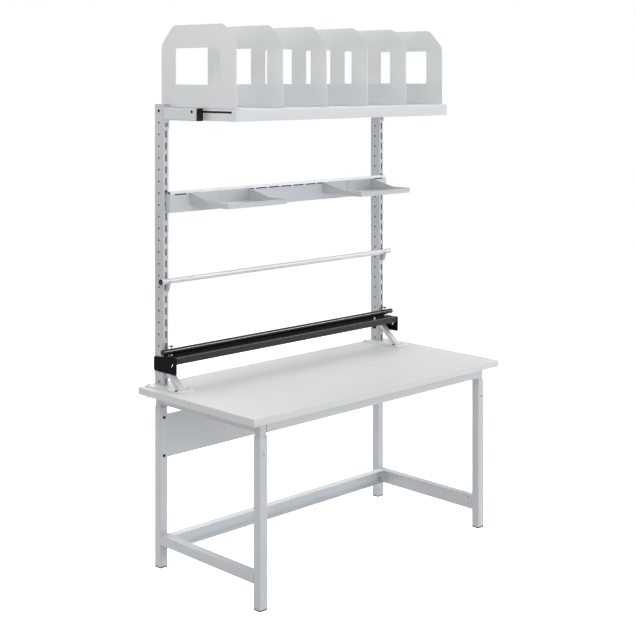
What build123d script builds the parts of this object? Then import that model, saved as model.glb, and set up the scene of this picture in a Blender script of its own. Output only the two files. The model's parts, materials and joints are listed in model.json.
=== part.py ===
from build123d import *
import os
from math import atan2, cos, sin

# Packing bench with telescopic legs, perforated uprights, a divider shelf,
# hanging trays, a roll rod and a film cutter. Millimetres, +Z up, +X along
# the bench to the right, -Y towards the user. The origin lies on the floor
# under the middle of the worktop.

# Worktop
worktop_width = 1500.0
worktop_depth = 750.0
worktop_thickness = 30.0
worktop_height = 768.0
edge_band = 2.0
edge_corner = 3.0

# General fits and sheet work
overrun = 1.0
fit_gap = 0.3
slide_gap = 0.2
spin_gap = 0.1
sheet = 2.0
thin_sheet = 1.5
bend_radius = 3.0

# Outer legs
outer_leg_side = 40.0
outer_leg_wall = 2.0
leg_corner = 4.0
leg_top_gap = 2.0
leg_slide_gap = 0.5
leg_inset_side = 62.5
leg_inset_front = 37.5
leg_inset_rear = 32.5
leg_tab_length = 35.0
leg_tab_thickness = 3.0
leg_tab_top_gap = 4.0

# Leg feet
foot_plate_height = 5.0
foot_plug_height = 20.0

# Inner legs
inner_leg_wall = 2.0
inner_leg_length = 408.0

# Leg clamp screws
clamp_drop_front = 71.0
clamp_drops_rear = (44.0, 206.0)
clamp_radius = 4.0
clamp_head_radius = 6.0
clamp_head_height = 3.5

# Lower rails
lower_rail_top = 141.0
lower_rail_inner_height = 60.0
lower_rail_outer_height = 40.0
rear_rail_depth = 40.0
rail_hole_radius = 3.5
outer_hole_drop = 9.0
outer_hole_front_inset = 100.5
outer_hole_rear_inset = 98.5
top_hole_inset = 13.0
top_hole_front_insets = (65.5, 104.5)
top_hole_rear_inset = 88.5
inner_hole_drop = 21.0
inner_hole_offsets = (-19.5, 13.5)

# Rail bolts
rail_bolt_radius = 3.0
rail_bolt_head_radius = 6.0
rail_bolt_head_height = 3.0
rail_bolt_nut_radius = 5.5
rail_bolt_nut_height = 5.0
rail_bolt_drops = (10.5, 41.5)
rail_bolt_inset = 17.5

# Modesty panel
panel_top_drop = 40.0
panel_height = 182.0
panel_return = 18.0
panel_screw_inset = 30.0
panel_screw_radius = 2.5
panel_screw_head_radius = 5.0
panel_screw_head_height = 2.5

# Upper rails
upper_rail_inner_height = 55.0
upper_rail_outer_height = 40.0
cross_rail_height = 45.5
cross_rail_return = 26.0

# Worktop screws
worktop_screw_radius = 2.2
worktop_screw_head_radius = 5.0
worktop_screw_head_height = 2.5
worktop_screw_depth = 18.0
worktop_screw_front_inset = 90.0
worktop_screw_rear_inset = 95.0

# Uprights
upright_width = 30.0
upright_depth = 60.0
upright_wall = 2.0
upright_corner = 3.0
upright_leg_offset = 4.0
upright_rear_setback = 20.5
upright_length = 1187.0
slot_pitch = 50.0
slot_first = 15.5
slot_height = 29.0
slot_width = 5.0
side_hole_radius = 3.5
cap_thickness = 7.5
cap_rounding = 2.5
cap_plug_height = 7.0

# Upright feet
foot_rear_width = 128.0
foot_front_width = 88.0
foot_thickness = 5.0
foot_length = 222.0
foot_rear_setback = 5.0
foot_corner = 15.0
strut_rise = 95.0
strut_reach = 114.5
strut_width = 28.0
strut_sheet = 3.0
strut_flange = 18.0
foot_bolt_radius = 4.0
foot_bolt_head_radius = 7.0
foot_bolt_head_height = 4.0
foot_bolt_nut_height = 6.5
foot_bolt_front_spread = 31.5
foot_bolt_front_inset = 36.0
foot_bolt_rear_spread = 46.0
foot_bolt_rear_inset = 10.0

# Hooks that hang in the upright slots
hook_side_gap = 0.5
hook_plate = 2.0
hook_neck_height = 10.0
hook_drop = 8.0
hook_catch = 3.0

# Shelf arms
arm_width = 30.0
arm_height = 53.0
arm_wall = 2.0
arm_corner = 5.0
arm_length = 224.5
arm_rise = 14.5
arm_plate_thickness = 3.0
arm_plate_bottom_drop = 38.0
arm_plate_top_rise = 3.0
arm_plate_corner = 3.0
arm_bolt_rise = 4.0
arm_bolt_head_radius = 8.0
arm_bolt_head_height = 4.0
arm_bolt_nut_radius = 6.0
arm_bolt_nut_height = 4.0
arm_cap_length = 7.0
arm_cap_rounding = 1.0
arm_cap_plug = 12.0

# Shelf
shelf_side_gap = 1.5
shelf_depth = 493.7
shelf_rear_overhang = 23.2
shelf_height = 51.0
shelf_return = 14.0
shelf_slot_height = 8.5
shelf_slot_play = 0.25
shelf_slot_inset = 30.3
shelf_slot_land = 18.5
shelf_bolt_inset = 30.0
shelf_bolt_head_radius = 6.5
shelf_bolt_head_height = 3.5
shelf_nut_radius = 7.0
shelf_nut_height = 5.0

# Dividers
divider_count = 6
divider_height = 347.0
divider_foot = 34.0
divider_hem = 8.0
divider_hem_thickness = 3.0
divider_hem_drop = 25.0
divider_bend = 2.0
divider_chamfer = 80.0
divider_corner = 50.0
window_inset = 98.5
window_corner = 5.0
window_bottom = 97.5
window_height = 152.5

# Tray rail
tray_rail_reach = 29.5
tray_rail_drop = 31.5
tray_rail_face = 79.5
tray_rail_lip = 10.5
tray_rail_lip_lean = 4.0
tray_rail_return = 20.0
tray_rail_top = 12.0
tray_rail_skirt = 24.0
tray_slot_margin = 10.0
tray_slot_pitch = 76.0
tray_slot_length = 62.0
tray_slot_height = 5.0
tray_slot_drop = 3.5
tray_bracket_top_gap = 1.0
tray_slots_from_top = 9
tray_lock_drop = 5.0
tray_lock_head_radius = 5.0
tray_lock_head_height = 3.0
tray_lock_nut_radius = 5.0
tray_lock_nut_height = 3.5

# Trays
tray_width = 330.0
tray_slot_offset = 15.0
tray_depth = 254.8
tray_height = 52.0
tray_low_height = 22.0
tray_slope_start = 10.0
tray_slope_end = 145.0
tray_seam = 2.0
tray_bend = 2.0
tray_hook_width = 30.0
tray_hook_spread = 76.0
tray_hook_drop = 9.0
tray_hole_radius = 3.0
tray_hole_rise = 15.0

# Roll rod
rod_radius = 12.5
rod_wall = 1.5
rod_overhang = 21.5
rod_cap_thickness = 4.0
rod_cap_plug = 12.0
rod_slot_index = 8
rod_rise = 28.5
rod_upright_gap = 1.0
holder_front = 6.5
holder_below = 11.0
holder_horn = 4.0
holder_land_drop = 9.0

# Pressure bar
bar_radius = 12.5
bar_wall = 1.5
bar_overhang = 21.5
bar_reach = 28.5
bar_lift = 8.0
pin_inset = 7.0
pin_radius = 4.0
pin_head_radius = 10.5
pin_head_height = 5.0
pin_hole_gap = 0.3
pin_nut_radius = 7.5

# Cutter rails
cutter_rise = 37.5
cutter_height = 28.0
cutter_depth = 82.0
cutter_rear_gap = 7.5
cutter_wall = 3.0
cutter_slit_inset = 28.0
cutter_slit = 4.0
cutter_slit_depth = 8.0
cutter_groove = 12.0
cutter_lip = 4.0
cutter_lip_slit = 6.0
cutter_edge = 1.5
rib_width = 14.0
rib_height = 4.2
rib_end_gap = 12.0

# Cutter end plates
plate_thickness = 4.0
plate_front_overhang = 5.0
plate_rear_overhang = 0.5
plate_screw_edge = 6.5
plate_rear_rise = 16.0
plate_front_rise = 1.0
plate_corner = 7.0
plate_slot_low = (3.5, -16.0)
plate_slot_high = (-9.5, 1.0)
plate_slot_width = 5.0
plate_tab_length = 40.0
plate_screw_index = 1
plate_stud_index = 2
plate_screw_head_radius = 6.0
plate_screw_head_height = 3.0
plate_nut_radius = 5.0
plate_nut_height = 3.0
tab_screw_inset = 20.5
tab_screw_radius = 2.5
tab_screw_head_radius = 4.5
tab_screw_head_height = 2.5

# Knife
knife_end_gap = 128.5
knife_length = 40.0
knife_knob_radius = 8.0
knife_knob_height = 14.0
knife_knob_drop = 4.0
knife_stem_depth = 6.0
blade_thickness = 1.0
blade_length = 22.0
blade_seat = 6.0
blade_rise = 9.0
blade_tip = 3.0

# Places that follow from the values above
underside = worktop_height - worktop_thickness
inner_leg_side = outer_leg_side - 2 * outer_leg_wall - 2 * leg_slide_gap
inner_leg_bottom = underside - inner_leg_length
outer_leg_top = underside - upper_rail_inner_height - leg_top_gap
leg_x = worktop_width / 2 - leg_inset_side - outer_leg_side / 2
leg_front_y = -worktop_depth / 2 + leg_inset_front + outer_leg_side / 2
leg_rear_y = worktop_depth / 2 - leg_inset_rear - outer_leg_side / 2
leg_inner_x = leg_x - outer_leg_side / 2
leg_outer_x = leg_x + outer_leg_side / 2
inner_leg_inner_x = leg_x - inner_leg_side / 2
inner_leg_outer_x = leg_x + inner_leg_side / 2
rail_front_end = leg_front_y + outer_leg_side / 2
rail_rear_end = leg_rear_y - outer_leg_side / 2
lower_rail_bottom = lower_rail_top - lower_rail_inner_height
panel_top = outer_leg_top - panel_top_drop
panel_bottom = panel_top - panel_height
upright_x = leg_x - upright_leg_offset
upright_y = worktop_depth / 2 - upright_rear_setback - upright_depth / 2
upright_front_y = upright_y - upright_depth / 2
upright_bottom = worktop_height + foot_thickness
upright_top = upright_bottom + upright_length
upright_inner_x = upright_x - upright_width / 2
upright_outer_x = upright_x + upright_width / 2
slot_floor_offset = slot_height / 2
slot_count = int((upright_length - slot_first - slot_floor_offset) // slot_pitch) + 1
slot_bolt_radius = slot_width / 2 - slide_gap
hook_thickness = slot_width - 2 * hook_side_gap
foot_rear_y = worktop_depth / 2 - foot_rear_setback
foot_front_y = foot_rear_y - foot_length
strut_foot_y = upright_front_y - strut_reach


def slot_z(index):
    """Height of the middle of one upright slot."""
    return upright_bottom + slot_first + slot_pitch * index


# Shelf and its arms, hung in the top slots
arm_hook_index = slot_count - 1
arm_bolt_index = slot_count - 2
arm_front_y = upright_front_y - arm_length
arm_top = slot_z(arm_hook_index) + arm_rise
arm_middle = arm_top - arm_height / 2
shelf_top = arm_top
shelf_bottom = shelf_top - shelf_height
shelf_half = upright_inner_x - shelf_side_gap
shelf_width = 2 * shelf_half
shelf_rear_y = upright_y + shelf_rear_overhang
shelf_front_y = shelf_rear_y - shelf_depth
shelf_bolt_radius = side_hole_radius - slide_gap
shelf_collar_radius = shelf_slot_height / 2 - shelf_slot_play

# Tray rail and trays, a few slots lower
tray_bracket_slots = (slot_count - tray_slots_from_top, slot_count - tray_slots_from_top + 1)
tray_lock_index = tray_bracket_slots[1]
tray_rail_front_y = upright_front_y - tray_rail_reach
tray_rail_bottom = slot_z(tray_bracket_slots[0]) - tray_rail_drop
tray_rail_half = upright_x - hook_plate / 2
tray_rail_bend = tray_rail_bottom + tray_rail_face
tray_slot_z = tray_rail_bend - tray_slot_drop
tray_slots_a_side = int((tray_rail_half - tray_slot_length / 2 - tray_slot_margin) // tray_slot_pitch)
tray_slot_count = 2 * tray_slots_a_side + 1
tray_centre = (tray_slots_a_side * 2 // 3) * tray_slot_pitch + tray_slot_offset

# Roll rod, film cutter and knife
rod_y = upright_front_y - rod_upright_gap - rod_radius
rod_half_length = upright_outer_x + rod_overhang
cutter_bottom = slot_z(plate_screw_index) + cutter_rise
cutter_top = cutter_bottom + cutter_height
cutter_rear_y = upright_front_y - cutter_rear_gap
cutter_front_y = cutter_rear_y - cutter_depth
cutter_slit_y = cutter_front_y + cutter_slit_inset
cutter_half = upright_outer_x
rib_top = cutter_top + rib_height
groove_top = cutter_top - cutter_slit_depth
groove_bottom = cutter_bottom + cutter_lip
bar_axis_y = upright_front_y - bar_reach
bar_axis_z = rib_top + fit_gap + bar_radius
bar_half_length = upright_outer_x + bar_overhang
pin_x = upright_x - pin_inset
plate_front_y = cutter_front_y - plate_front_overhang
plate_rear_y = upright_y + upright_depth / 2 + plate_rear_overhang
plate_bottom = slot_z(plate_screw_index) - plate_screw_edge
plate_rear_top = cutter_bottom + plate_rear_rise
plate_front_top = cutter_top + plate_front_rise
plate_screw_radius = side_hole_radius - fit_gap
knife_x = cutter_half - knife_end_gap
knife_stem_radius = cutter_lip_slit / 2 - fit_gap


def block(x_range, y_range, z_range):
    """Box between two x, two y and two z values."""
    centre = [(low + high) / 2 for low, high in (x_range, y_range, z_range)]
    size = [high - low for low, high in (x_range, y_range, z_range)]
    return Pos(*centre) * Box(*size)


def outline(points):
    """Closed face through the given points."""
    return make_face(Polyline(*points, close=True))


def along_x(face, x_start, length):
    """Push a face drawn in (y, z) along +X."""
    return extrude(Plane.YZ.offset(x_start) * face, length)


def along_y(face, y_start, length):
    """Push a face drawn in (x, z) along +Y."""
    return extrude(Plane.XZ.offset(-y_start) * face, -length)


def along_z(face, z_start, length):
    """Push a face drawn in (x, y) up along +Z."""
    return extrude(Plane.XY.offset(z_start) * face, length)


def rod_x(radius, x_start, x_end, y, z):
    """Round bar along X between two x values."""
    return along_x(Pos(y, z) * Circle(radius), x_start, x_end - x_start)


def rod_y_axis(radius, y_start, y_end, x, z):
    """Round bar along Y between two y values."""
    return along_y(Pos(x, z) * Circle(radius), y_start, y_end - y_start)


def rod_z(radius, z_start, z_end, x, y):
    """Round bar along Z between two z values."""
    return along_z(Pos(x, y) * Circle(radius), z_start, z_end - z_start)


def hex_x(radius, x_start, x_end, y, z):
    """Hexagon nut along X between two x values."""
    return along_x(Pos(y, z) * RegularPolygon(radius, 6), x_start, x_end - x_start)


def hex_y(radius, y_start, y_end, x, z):
    """Hexagon nut along Y between two y values."""
    return along_y(Pos(x, z) * RegularPolygon(radius, 6), y_start, y_end - y_start)


def hex_z(radius, z_start, z_end, x, y):
    """Hexagon nut along Z between two z values."""
    return along_z(Pos(x, y) * RegularPolygon(radius, 6), z_start, z_end - z_start)


def flip(shape):
    """Mirror image on the left-hand side of the bench."""
    return mirror(shape, Plane.YZ)


def square_tube(side_x, side_y, wall, corner):
    """Section of a rectangular tube with rounded outer corners."""
    inner = Rectangle(side_x - 2 * wall, side_y - 2 * wall)
    return RectangleRounded(side_x, side_y, corner) - inner


def clamp_heights(is_rear):
    """Heights of the clamp screws on a front or a rear leg."""
    drops = (clamp_drop_front,)
    if is_rear:
        drops = clamp_drops_rear
    return [outer_leg_top - drop for drop in drops]


def rail_bolt_places(is_rear):
    """Middle (y, z) of the two bolts that hold a side rail to a leg."""
    y = rail_front_end + rail_bolt_inset
    if is_rear:
        y = rail_rear_end - rail_bolt_inset
    return [(y, lower_rail_top - drop) for drop in rail_bolt_drops]


def panel_screw_heights():
    """Heights of the screws at each end of the modesty panel."""
    return (panel_bottom + panel_screw_inset, panel_top - panel_screw_inset)


def panel_screw_y():
    """Middle of the panel's end flange."""
    return leg_rear_y + panel_return / 2


def outer_leg(is_rear):
    """Right-hand outer leg: tube, welded tab and screw holes."""
    y = leg_front_y
    if is_rear:
        y = leg_rear_y
    section = square_tube(outer_leg_side, outer_leg_side, outer_leg_wall, leg_corner)
    tube = along_z(Pos(leg_x, y) * section, foot_plate_height, outer_leg_top - foot_plate_height)
    tab_y = (rail_front_end, rail_front_end + leg_tab_length)
    if is_rear:
        tab_y = (rail_rear_end - leg_tab_length, rail_rear_end)
    tab_x = (leg_inner_x + sheet, leg_inner_x + sheet + leg_tab_thickness)
    tab = block(tab_x, tab_y, (lower_rail_bottom + leg_tab_top_gap, lower_rail_top - leg_tab_top_gap))
    leg = tube + tab
    face_y = y - outer_leg_side / 2
    for z in clamp_heights(is_rear):
        hole_y = (face_y - overrun, face_y + outer_leg_wall + overrun)
        leg -= rod_y_axis(clamp_radius + fit_gap, *hole_y, leg_x, z)
    for hole_y, hole_z in rail_bolt_places(is_rear):
        leg -= rod_x(rail_bolt_radius + fit_gap, tab_x[0] - overrun, tab_x[1] + overrun, hole_y, hole_z)
    if is_rear:
        for z in panel_screw_heights():
            hole_end = leg_inner_x + outer_leg_wall + overrun
            leg -= rod_x(panel_screw_radius + fit_gap, leg_inner_x - overrun, hole_end, panel_screw_y(), z)
    return leg


def leg_foot(x, y):
    """Plastic foot: plate under the tube and a plug inside it."""
    plate_face = RectangleRounded(outer_leg_side, outer_leg_side, leg_corner)
    plate = along_z(Pos(x, y) * plate_face, 0, foot_plate_height)
    plug_side = outer_leg_side - 2 * outer_leg_wall - 2 * fit_gap
    plug = along_z(Pos(x, y) * Rectangle(plug_side, plug_side), foot_plate_height, foot_plug_height)
    return plate + plug


def clamp_screw(x, y, z):
    """Leg screw that reaches through the outer tube to the inner one."""
    face_y = y - outer_leg_side / 2
    tip_y = y - inner_leg_side / 2 - fit_gap
    head = rod_y_axis(clamp_head_radius, face_y - clamp_head_height, face_y, x, z)
    return head + rod_y_axis(clamp_radius, face_y, tip_y, x, z)


def lower_side_rail():
    """Right-hand side rail: inverted U of sheet between the outer legs."""
    bottom = lower_rail_bottom
    flange_bottom = lower_rail_top - lower_rail_outer_height
    section = outline([
        (leg_inner_x, bottom),
        (leg_inner_x, lower_rail_top),
        (leg_outer_x, lower_rail_top),
        (leg_outer_x, flange_bottom),
        (leg_outer_x - sheet, flange_bottom),
        (leg_outer_x - sheet, lower_rail_top - sheet),
        (leg_inner_x + sheet, lower_rail_top - sheet),
        (leg_inner_x + sheet, bottom),
    ])
    rail = along_y(section, rail_front_end, rail_rear_end - rail_front_end)
    top_edges = rail.edges().filter_by(Axis.Y).group_by(Axis.Z)[-1]
    rail = fillet(top_edges, bend_radius)
    outer_face = (leg_outer_x - sheet - overrun, leg_outer_x + overrun)
    inner_face = (leg_inner_x - overrun, leg_inner_x + sheet + overrun)
    for y in (rail_front_end + outer_hole_front_inset, rail_rear_end - outer_hole_rear_inset):
        rail -= rod_x(rail_hole_radius, *outer_face, y, lower_rail_top - outer_hole_drop)
    middle = (rail_front_end + rail_rear_end) / 2
    for offset in inner_hole_offsets:
        rail -= rod_x(rail_hole_radius, *inner_face, middle + offset, lower_rail_top - inner_hole_drop)
    top_ys = [rail_front_end + inset for inset in top_hole_front_insets]
    for y in (*top_ys, rail_rear_end - top_hole_rear_inset):
        hole_z = (lower_rail_top - sheet - overrun, lower_rail_top + overrun)
        rail -= rod_z(rail_hole_radius, *hole_z, leg_inner_x + top_hole_inset, y)
    for is_rear in (False, True):
        for y, z in rail_bolt_places(is_rear):
            rail -= rod_x(rail_bolt_radius + fit_gap, *inner_face, y, z)
    return rail


def lower_rear_rail():
    """Rear rail: channel open to the front, with a folded plate at each end."""
    bottom = lower_rail_bottom
    front = rail_rear_end - rear_rail_depth
    span = (-leg_inner_x, leg_inner_x)
    depth = (front, rail_rear_end)
    rail = block(span, depth, (bottom, lower_rail_top))
    inside_x = (-leg_inner_x + sheet, leg_inner_x - sheet)
    inside_y = (front - overrun, rail_rear_end - sheet)
    rail -= block(inside_x, inside_y, (bottom + sheet, lower_rail_top - sheet))
    for y, z in rail_bolt_places(True):
        hole = rod_x(rail_bolt_radius + fit_gap, leg_inner_x - sheet - overrun, leg_inner_x + overrun, y, z)
        rail -= hole
        rail -= flip(hole)
    return rail


def rail_bolt(is_rear, y, z):
    """Bolt with its nut, through the side rail and the leg's tab."""
    head_x = leg_inner_x
    if is_rear:
        head_x = leg_inner_x - sheet
    nut_x = leg_inner_x + sheet + leg_tab_thickness
    head = rod_x(rail_bolt_head_radius, head_x - rail_bolt_head_height, head_x, y, z)
    shank = rod_x(rail_bolt_radius, head_x, nut_x, y, z)
    return head + shank + hex_x(rail_bolt_nut_radius, nut_x, nut_x + rail_bolt_nut_height, y, z)


def modesty_panel():
    """Folded sheet between the rear legs, open at the back."""
    rear = leg_rear_y + panel_return
    panel = block((-leg_inner_x, leg_inner_x), (leg_rear_y, rear), (panel_bottom, panel_top))
    inside_x = (-leg_inner_x + thin_sheet, leg_inner_x - thin_sheet)
    inside_z = (panel_bottom + thin_sheet, panel_top - thin_sheet)
    panel -= block(inside_x, (leg_rear_y + thin_sheet, rear + overrun), inside_z)
    for z in panel_screw_heights():
        hole_x = (leg_inner_x - thin_sheet - overrun, leg_inner_x + overrun)
        hole = rod_x(panel_screw_radius + fit_gap, *hole_x, panel_screw_y(), z)
        panel -= hole
        panel -= flip(hole)
    return panel


def panel_screw(z):
    """Right-hand screw from the panel's end flange into the leg wall."""
    head_x = leg_inner_x - thin_sheet
    head = rod_x(panel_screw_head_radius, head_x - panel_screw_head_height, head_x, panel_screw_y(), z)
    return head + rod_x(panel_screw_radius, head_x, leg_inner_x + outer_leg_wall, panel_screw_y(), z)


def inner_leg(is_rear):
    """Right-hand inner leg that slides in the outer one."""
    y = leg_front_y
    if is_rear:
        y = leg_rear_y
    section = square_tube(inner_leg_side, inner_leg_side, inner_leg_wall, leg_corner)
    return along_z(Pos(leg_x, y) * section, inner_leg_bottom, underside - inner_leg_bottom)


def upper_rail_ends():
    """First and last y of the rails between the inner legs."""
    return leg_front_y + inner_leg_side / 2, leg_rear_y - inner_leg_side / 2


def worktop_screw_ys():
    """Places of the worktop screws along a side rail."""
    start, end = upper_rail_ends()
    first = start + worktop_screw_front_inset
    last = end - worktop_screw_rear_inset
    return first, (first + last) / 2, last


def upper_side_rail():
    """Right-hand rail between the inner legs, under the worktop."""
    bottom = underside - upper_rail_inner_height
    flange_bottom = underside - upper_rail_outer_height
    section = outline([
        (inner_leg_inner_x, bottom),
        (inner_leg_inner_x, underside),
        (inner_leg_outer_x, underside),
        (inner_leg_outer_x, flange_bottom),
        (inner_leg_outer_x - sheet, flange_bottom),
        (inner_leg_outer_x - sheet, underside - sheet),
        (inner_leg_inner_x + sheet, underside - sheet),
        (inner_leg_inner_x + sheet, bottom),
    ])
    start, end = upper_rail_ends()
    rail = along_y(section, start, end - start)
    top_edges = rail.edges().filter_by(Axis.Y).group_by(Axis.Z)[-1]
    rail = fillet(top_edges, bend_radius)
    for y in worktop_screw_ys():
        hole_z = (underside - sheet - overrun, underside + overrun)
        rail -= rod_z(worktop_screw_radius + fit_gap, *hole_z, leg_x, y)
    return rail


def cross_rail(face_y, inward):
    """Rail along X under the worktop; inward is +1 or -1 along Y."""
    bottom = underside - cross_rail_height
    end_y = face_y + inward * (outer_leg_side - (outer_leg_side - inner_leg_side) / 2)
    return_y = face_y + inward * cross_rail_return
    inside_y = face_y + inward * sheet
    half = inner_leg_inner_x
    face = block((-half, half), sorted((face_y, inside_y)), (bottom, underside))
    upright_edges = face.edges().filter_by(Axis.Z).sort_by(lambda edge: abs(edge.center().Y - face_y))
    face = fillet(upright_edges[:2], sheet / 2)
    top = block((-half, half), sorted((inside_y, return_y)), (underside - sheet, underside))
    low = block((-half, half), sorted((inside_y, return_y)), (bottom, bottom + sheet))
    rail = face + top + low
    for x_range in ((-half, -half + sheet), (half - sheet, half)):
        rail += block(x_range, sorted((inside_y, end_y)), (bottom, underside))
    return rail


def worktop_board():
    """Laminated board with its screw and bolt holes."""
    board = Pos(0, 0, underside + worktop_thickness / 2) * Box(
        worktop_width - 2 * edge_band, worktop_depth - 2 * edge_band, worktop_thickness)
    for x in (-leg_x, leg_x):
        for y in worktop_screw_ys():
            hole_top = underside + worktop_screw_depth + fit_gap
            board -= rod_z(worktop_screw_radius + fit_gap, underside - overrun, hole_top, x, y)
    for x, y in foot_bolt_places():
        for side in (-1, 1):
            hole_z = (underside - overrun, worktop_height + overrun)
            board -= rod_z(foot_bolt_radius + fit_gap, *hole_z, side * x, y)
    return board


def worktop_edge_band():
    """Edging around the board."""
    outer = RectangleRounded(worktop_width, worktop_depth, edge_corner)
    inner = Rectangle(worktop_width - 2 * edge_band, worktop_depth - 2 * edge_band)
    return along_z(outer - inner, underside, worktop_thickness)


def worktop_screw(x, y):
    """Screw from a side rail up into the board."""
    seat = underside - sheet
    head = rod_z(worktop_screw_head_radius, seat - worktop_screw_head_height, seat, x, y)
    return head + rod_z(worktop_screw_radius, seat, underside + worktop_screw_depth, x, y)


def foot_bolt_places():
    """Middle (x, y) of the bolts of the right-hand upright foot."""
    front_y = foot_front_y + foot_bolt_front_inset
    rear_y = foot_rear_y - foot_bolt_rear_inset
    front = [(upright_x + side * foot_bolt_front_spread, front_y) for side in (-1, 1)]
    rear = [(upright_x + side * foot_bolt_rear_spread, rear_y) for side in (-1, 1)]
    return front + rear


def upright_foot():
    """Right-hand foot: tapered base plate with a channel strut up to the upright."""
    plate_face = outline([
        (upright_x - foot_front_width / 2, foot_front_y),
        (upright_x + foot_front_width / 2, foot_front_y),
        (upright_x + foot_rear_width / 2, foot_rear_y),
        (upright_x - foot_rear_width / 2, foot_rear_y),
    ])
    plate_face = fillet(plate_face.vertices(), foot_corner)
    foot = along_z(plate_face, worktop_height, foot_thickness)
    base = upright_bottom
    slope = atan2(strut_rise, upright_front_y - strut_foot_y)
    web = strut_sheet
    web_outline = outline([
        (upright_front_y, base + strut_rise),
        (strut_foot_y, base),
        (strut_foot_y + web / sin(slope), base),
        (upright_front_y, base + strut_rise - web / cos(slope)),
    ])
    flange_outline = outline([
        (upright_front_y, base + strut_rise),
        (strut_foot_y, base),
        (strut_foot_y + strut_flange / sin(slope), base),
        (upright_front_y, base + strut_rise - strut_flange / cos(slope)),
    ])
    foot += along_x(web_outline, upright_x - strut_width / 2, strut_width)
    foot += along_x(flange_outline, upright_x - strut_width / 2, strut_sheet)
    foot += along_x(flange_outline, upright_x + strut_width / 2 - strut_sheet, strut_sheet)
    for x, y in foot_bolt_places():
        foot -= rod_z(foot_bolt_radius + fit_gap, worktop_height - overrun, base + overrun, x, y)
    return foot


def foot_bolt(x, y):
    """Bolt with its nut, through the foot plate and the worktop."""
    head_z = worktop_height + foot_thickness
    head = rod_z(foot_bolt_head_radius, head_z, head_z + foot_bolt_head_height, x, y)
    head = fillet(head.edges().group_by(Axis.Z)[-1], foot_bolt_head_height / 2)
    shank = rod_z(foot_bolt_radius, underside, head_z, x, y)
    return head + shank + hex_z(foot_bolt_head_radius, underside - foot_bolt_nut_height, underside, x, y)


def upright():
    """Right-hand upright: tube with front slots and side holes."""
    section = square_tube(upright_width, upright_depth, upright_wall, upright_corner)
    post = along_z(Pos(upright_x, upright_y) * section, upright_bottom, upright_length)
    slots = []
    holes = []
    slot_y = (upright_front_y - overrun, upright_front_y + upright_wall + overrun)
    slot_x = (upright_x - slot_width / 2, upright_x + slot_width / 2)
    hole_x = (upright_inner_x - overrun, upright_outer_x + overrun)
    for index in range(slot_count):
        z = slot_z(index)
        slots.append(block(slot_x, slot_y, (z - slot_floor_offset, z + slot_floor_offset)))
        holes.append(rod_x(side_hole_radius, *hole_x, upright_y, z))
    return post - slots - holes


def upright_cap():
    """Plug in the open top of the right-hand upright."""
    plate = along_z(
        Pos(upright_x, upright_y) * RectangleRounded(upright_width, upright_depth, upright_corner),
        upright_top, cap_thickness)
    plate = fillet(plate.edges().group_by(Axis.Z)[-1], cap_rounding)
    inner_x = upright_width - 2 * upright_wall - 2 * fit_gap
    inner_y = upright_depth - 2 * upright_wall - 2 * fit_gap
    plug = block(
        (upright_x - inner_x / 2, upright_x + inner_x / 2),
        (upright_y - inner_y / 2, upright_y + inner_y / 2),
        (upright_top - cap_plug_height, upright_top))
    return plate + plug


def slot_hook(index, x, thickness):
    """Hook that hangs in one upright slot, its neck on the slot's lower edge."""
    neck_bottom = slot_z(index) - slot_floor_offset + fit_gap
    inner_face = upright_front_y + upright_wall + fit_gap
    x_range = (x - thickness / 2, x + thickness / 2)
    neck_y = (upright_front_y - fit_gap, inner_face + hook_catch)
    neck = block(x_range, neck_y, (neck_bottom, neck_bottom + hook_neck_height))
    catch = block(x_range, (inner_face, inner_face + hook_catch), (neck_bottom - hook_drop, neck_bottom))
    return neck + catch


def shelf_bolt_places():
    """Middle (y, z) of the front and the rear bolt of the shelf."""
    z = slot_z(arm_hook_index)
    return [(arm_front_y + shelf_bolt_inset, z), (upright_y, z)]


def shelf_slot_ends():
    """First and last y of the centreline of each shelf slot, and its height."""
    (front_y, z), (rear_y, _) = shelf_bolt_places()
    front_slot = (shelf_front_y + shelf_slot_inset, front_y + fit_gap)
    rear_slot = (front_y + fit_gap + shelf_slot_land, rear_y + fit_gap)
    return front_slot, rear_slot, z


def shelf_arm():
    """Right-hand arm: flattened tube on a plate that hooks into the upright."""
    rear = upright_front_y - arm_plate_thickness
    hollow = RectangleRounded(arm_width - 2 * arm_wall, arm_height - 2 * arm_wall, arm_corner - arm_wall)
    section = RectangleRounded(arm_width, arm_height, arm_corner) - hollow
    arm = along_y(Pos(upright_x, arm_middle) * section, arm_front_y, rear - arm_front_y)
    bottom = arm_top - arm_height - arm_plate_bottom_drop
    top = arm_top + arm_plate_top_rise
    face = RectangleRounded(arm_width, top - bottom, arm_plate_corner)
    arm += along_y(Pos(upright_x, (bottom + top) / 2) * face, rear, arm_plate_thickness)
    hook = slot_hook(arm_hook_index, upright_x, hook_thickness)
    hook += block(
        (upright_x - hook_thickness / 2, upright_x + hook_thickness / 2),
        (rear, upright_front_y),
        (slot_z(arm_hook_index) - slot_floor_offset, slot_z(arm_hook_index)))
    arm += hook
    bolt_y = (rear - overrun, upright_front_y + overrun)
    arm -= rod_y_axis(slot_bolt_radius + fit_gap, *bolt_y, upright_x, arm_bolt_z())
    y, z = shelf_bolt_places()[0]
    arm -= rod_x(side_hole_radius, upright_inner_x - overrun, upright_outer_x + overrun, y, z)
    return arm


def arm_bolt_z():
    """Height of the bolt that locks an arm in its slot."""
    return slot_z(arm_bolt_index) - slot_floor_offset + arm_bolt_rise


def arm_bolt():
    """Right-hand locking bolt with its nut behind the slotted wall."""
    z = arm_bolt_z()
    front = upright_front_y - arm_plate_thickness
    wall_inside = upright_front_y + upright_wall
    head = rod_y_axis(arm_bolt_head_radius, front - arm_bolt_head_height, front, upright_x, z)
    shank = rod_y_axis(slot_bolt_radius, front, wall_inside, upright_x, z)
    nut_end = wall_inside + arm_bolt_nut_height
    return head + shank + hex_y(arm_bolt_nut_radius, wall_inside, nut_end, upright_x, z)


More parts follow.
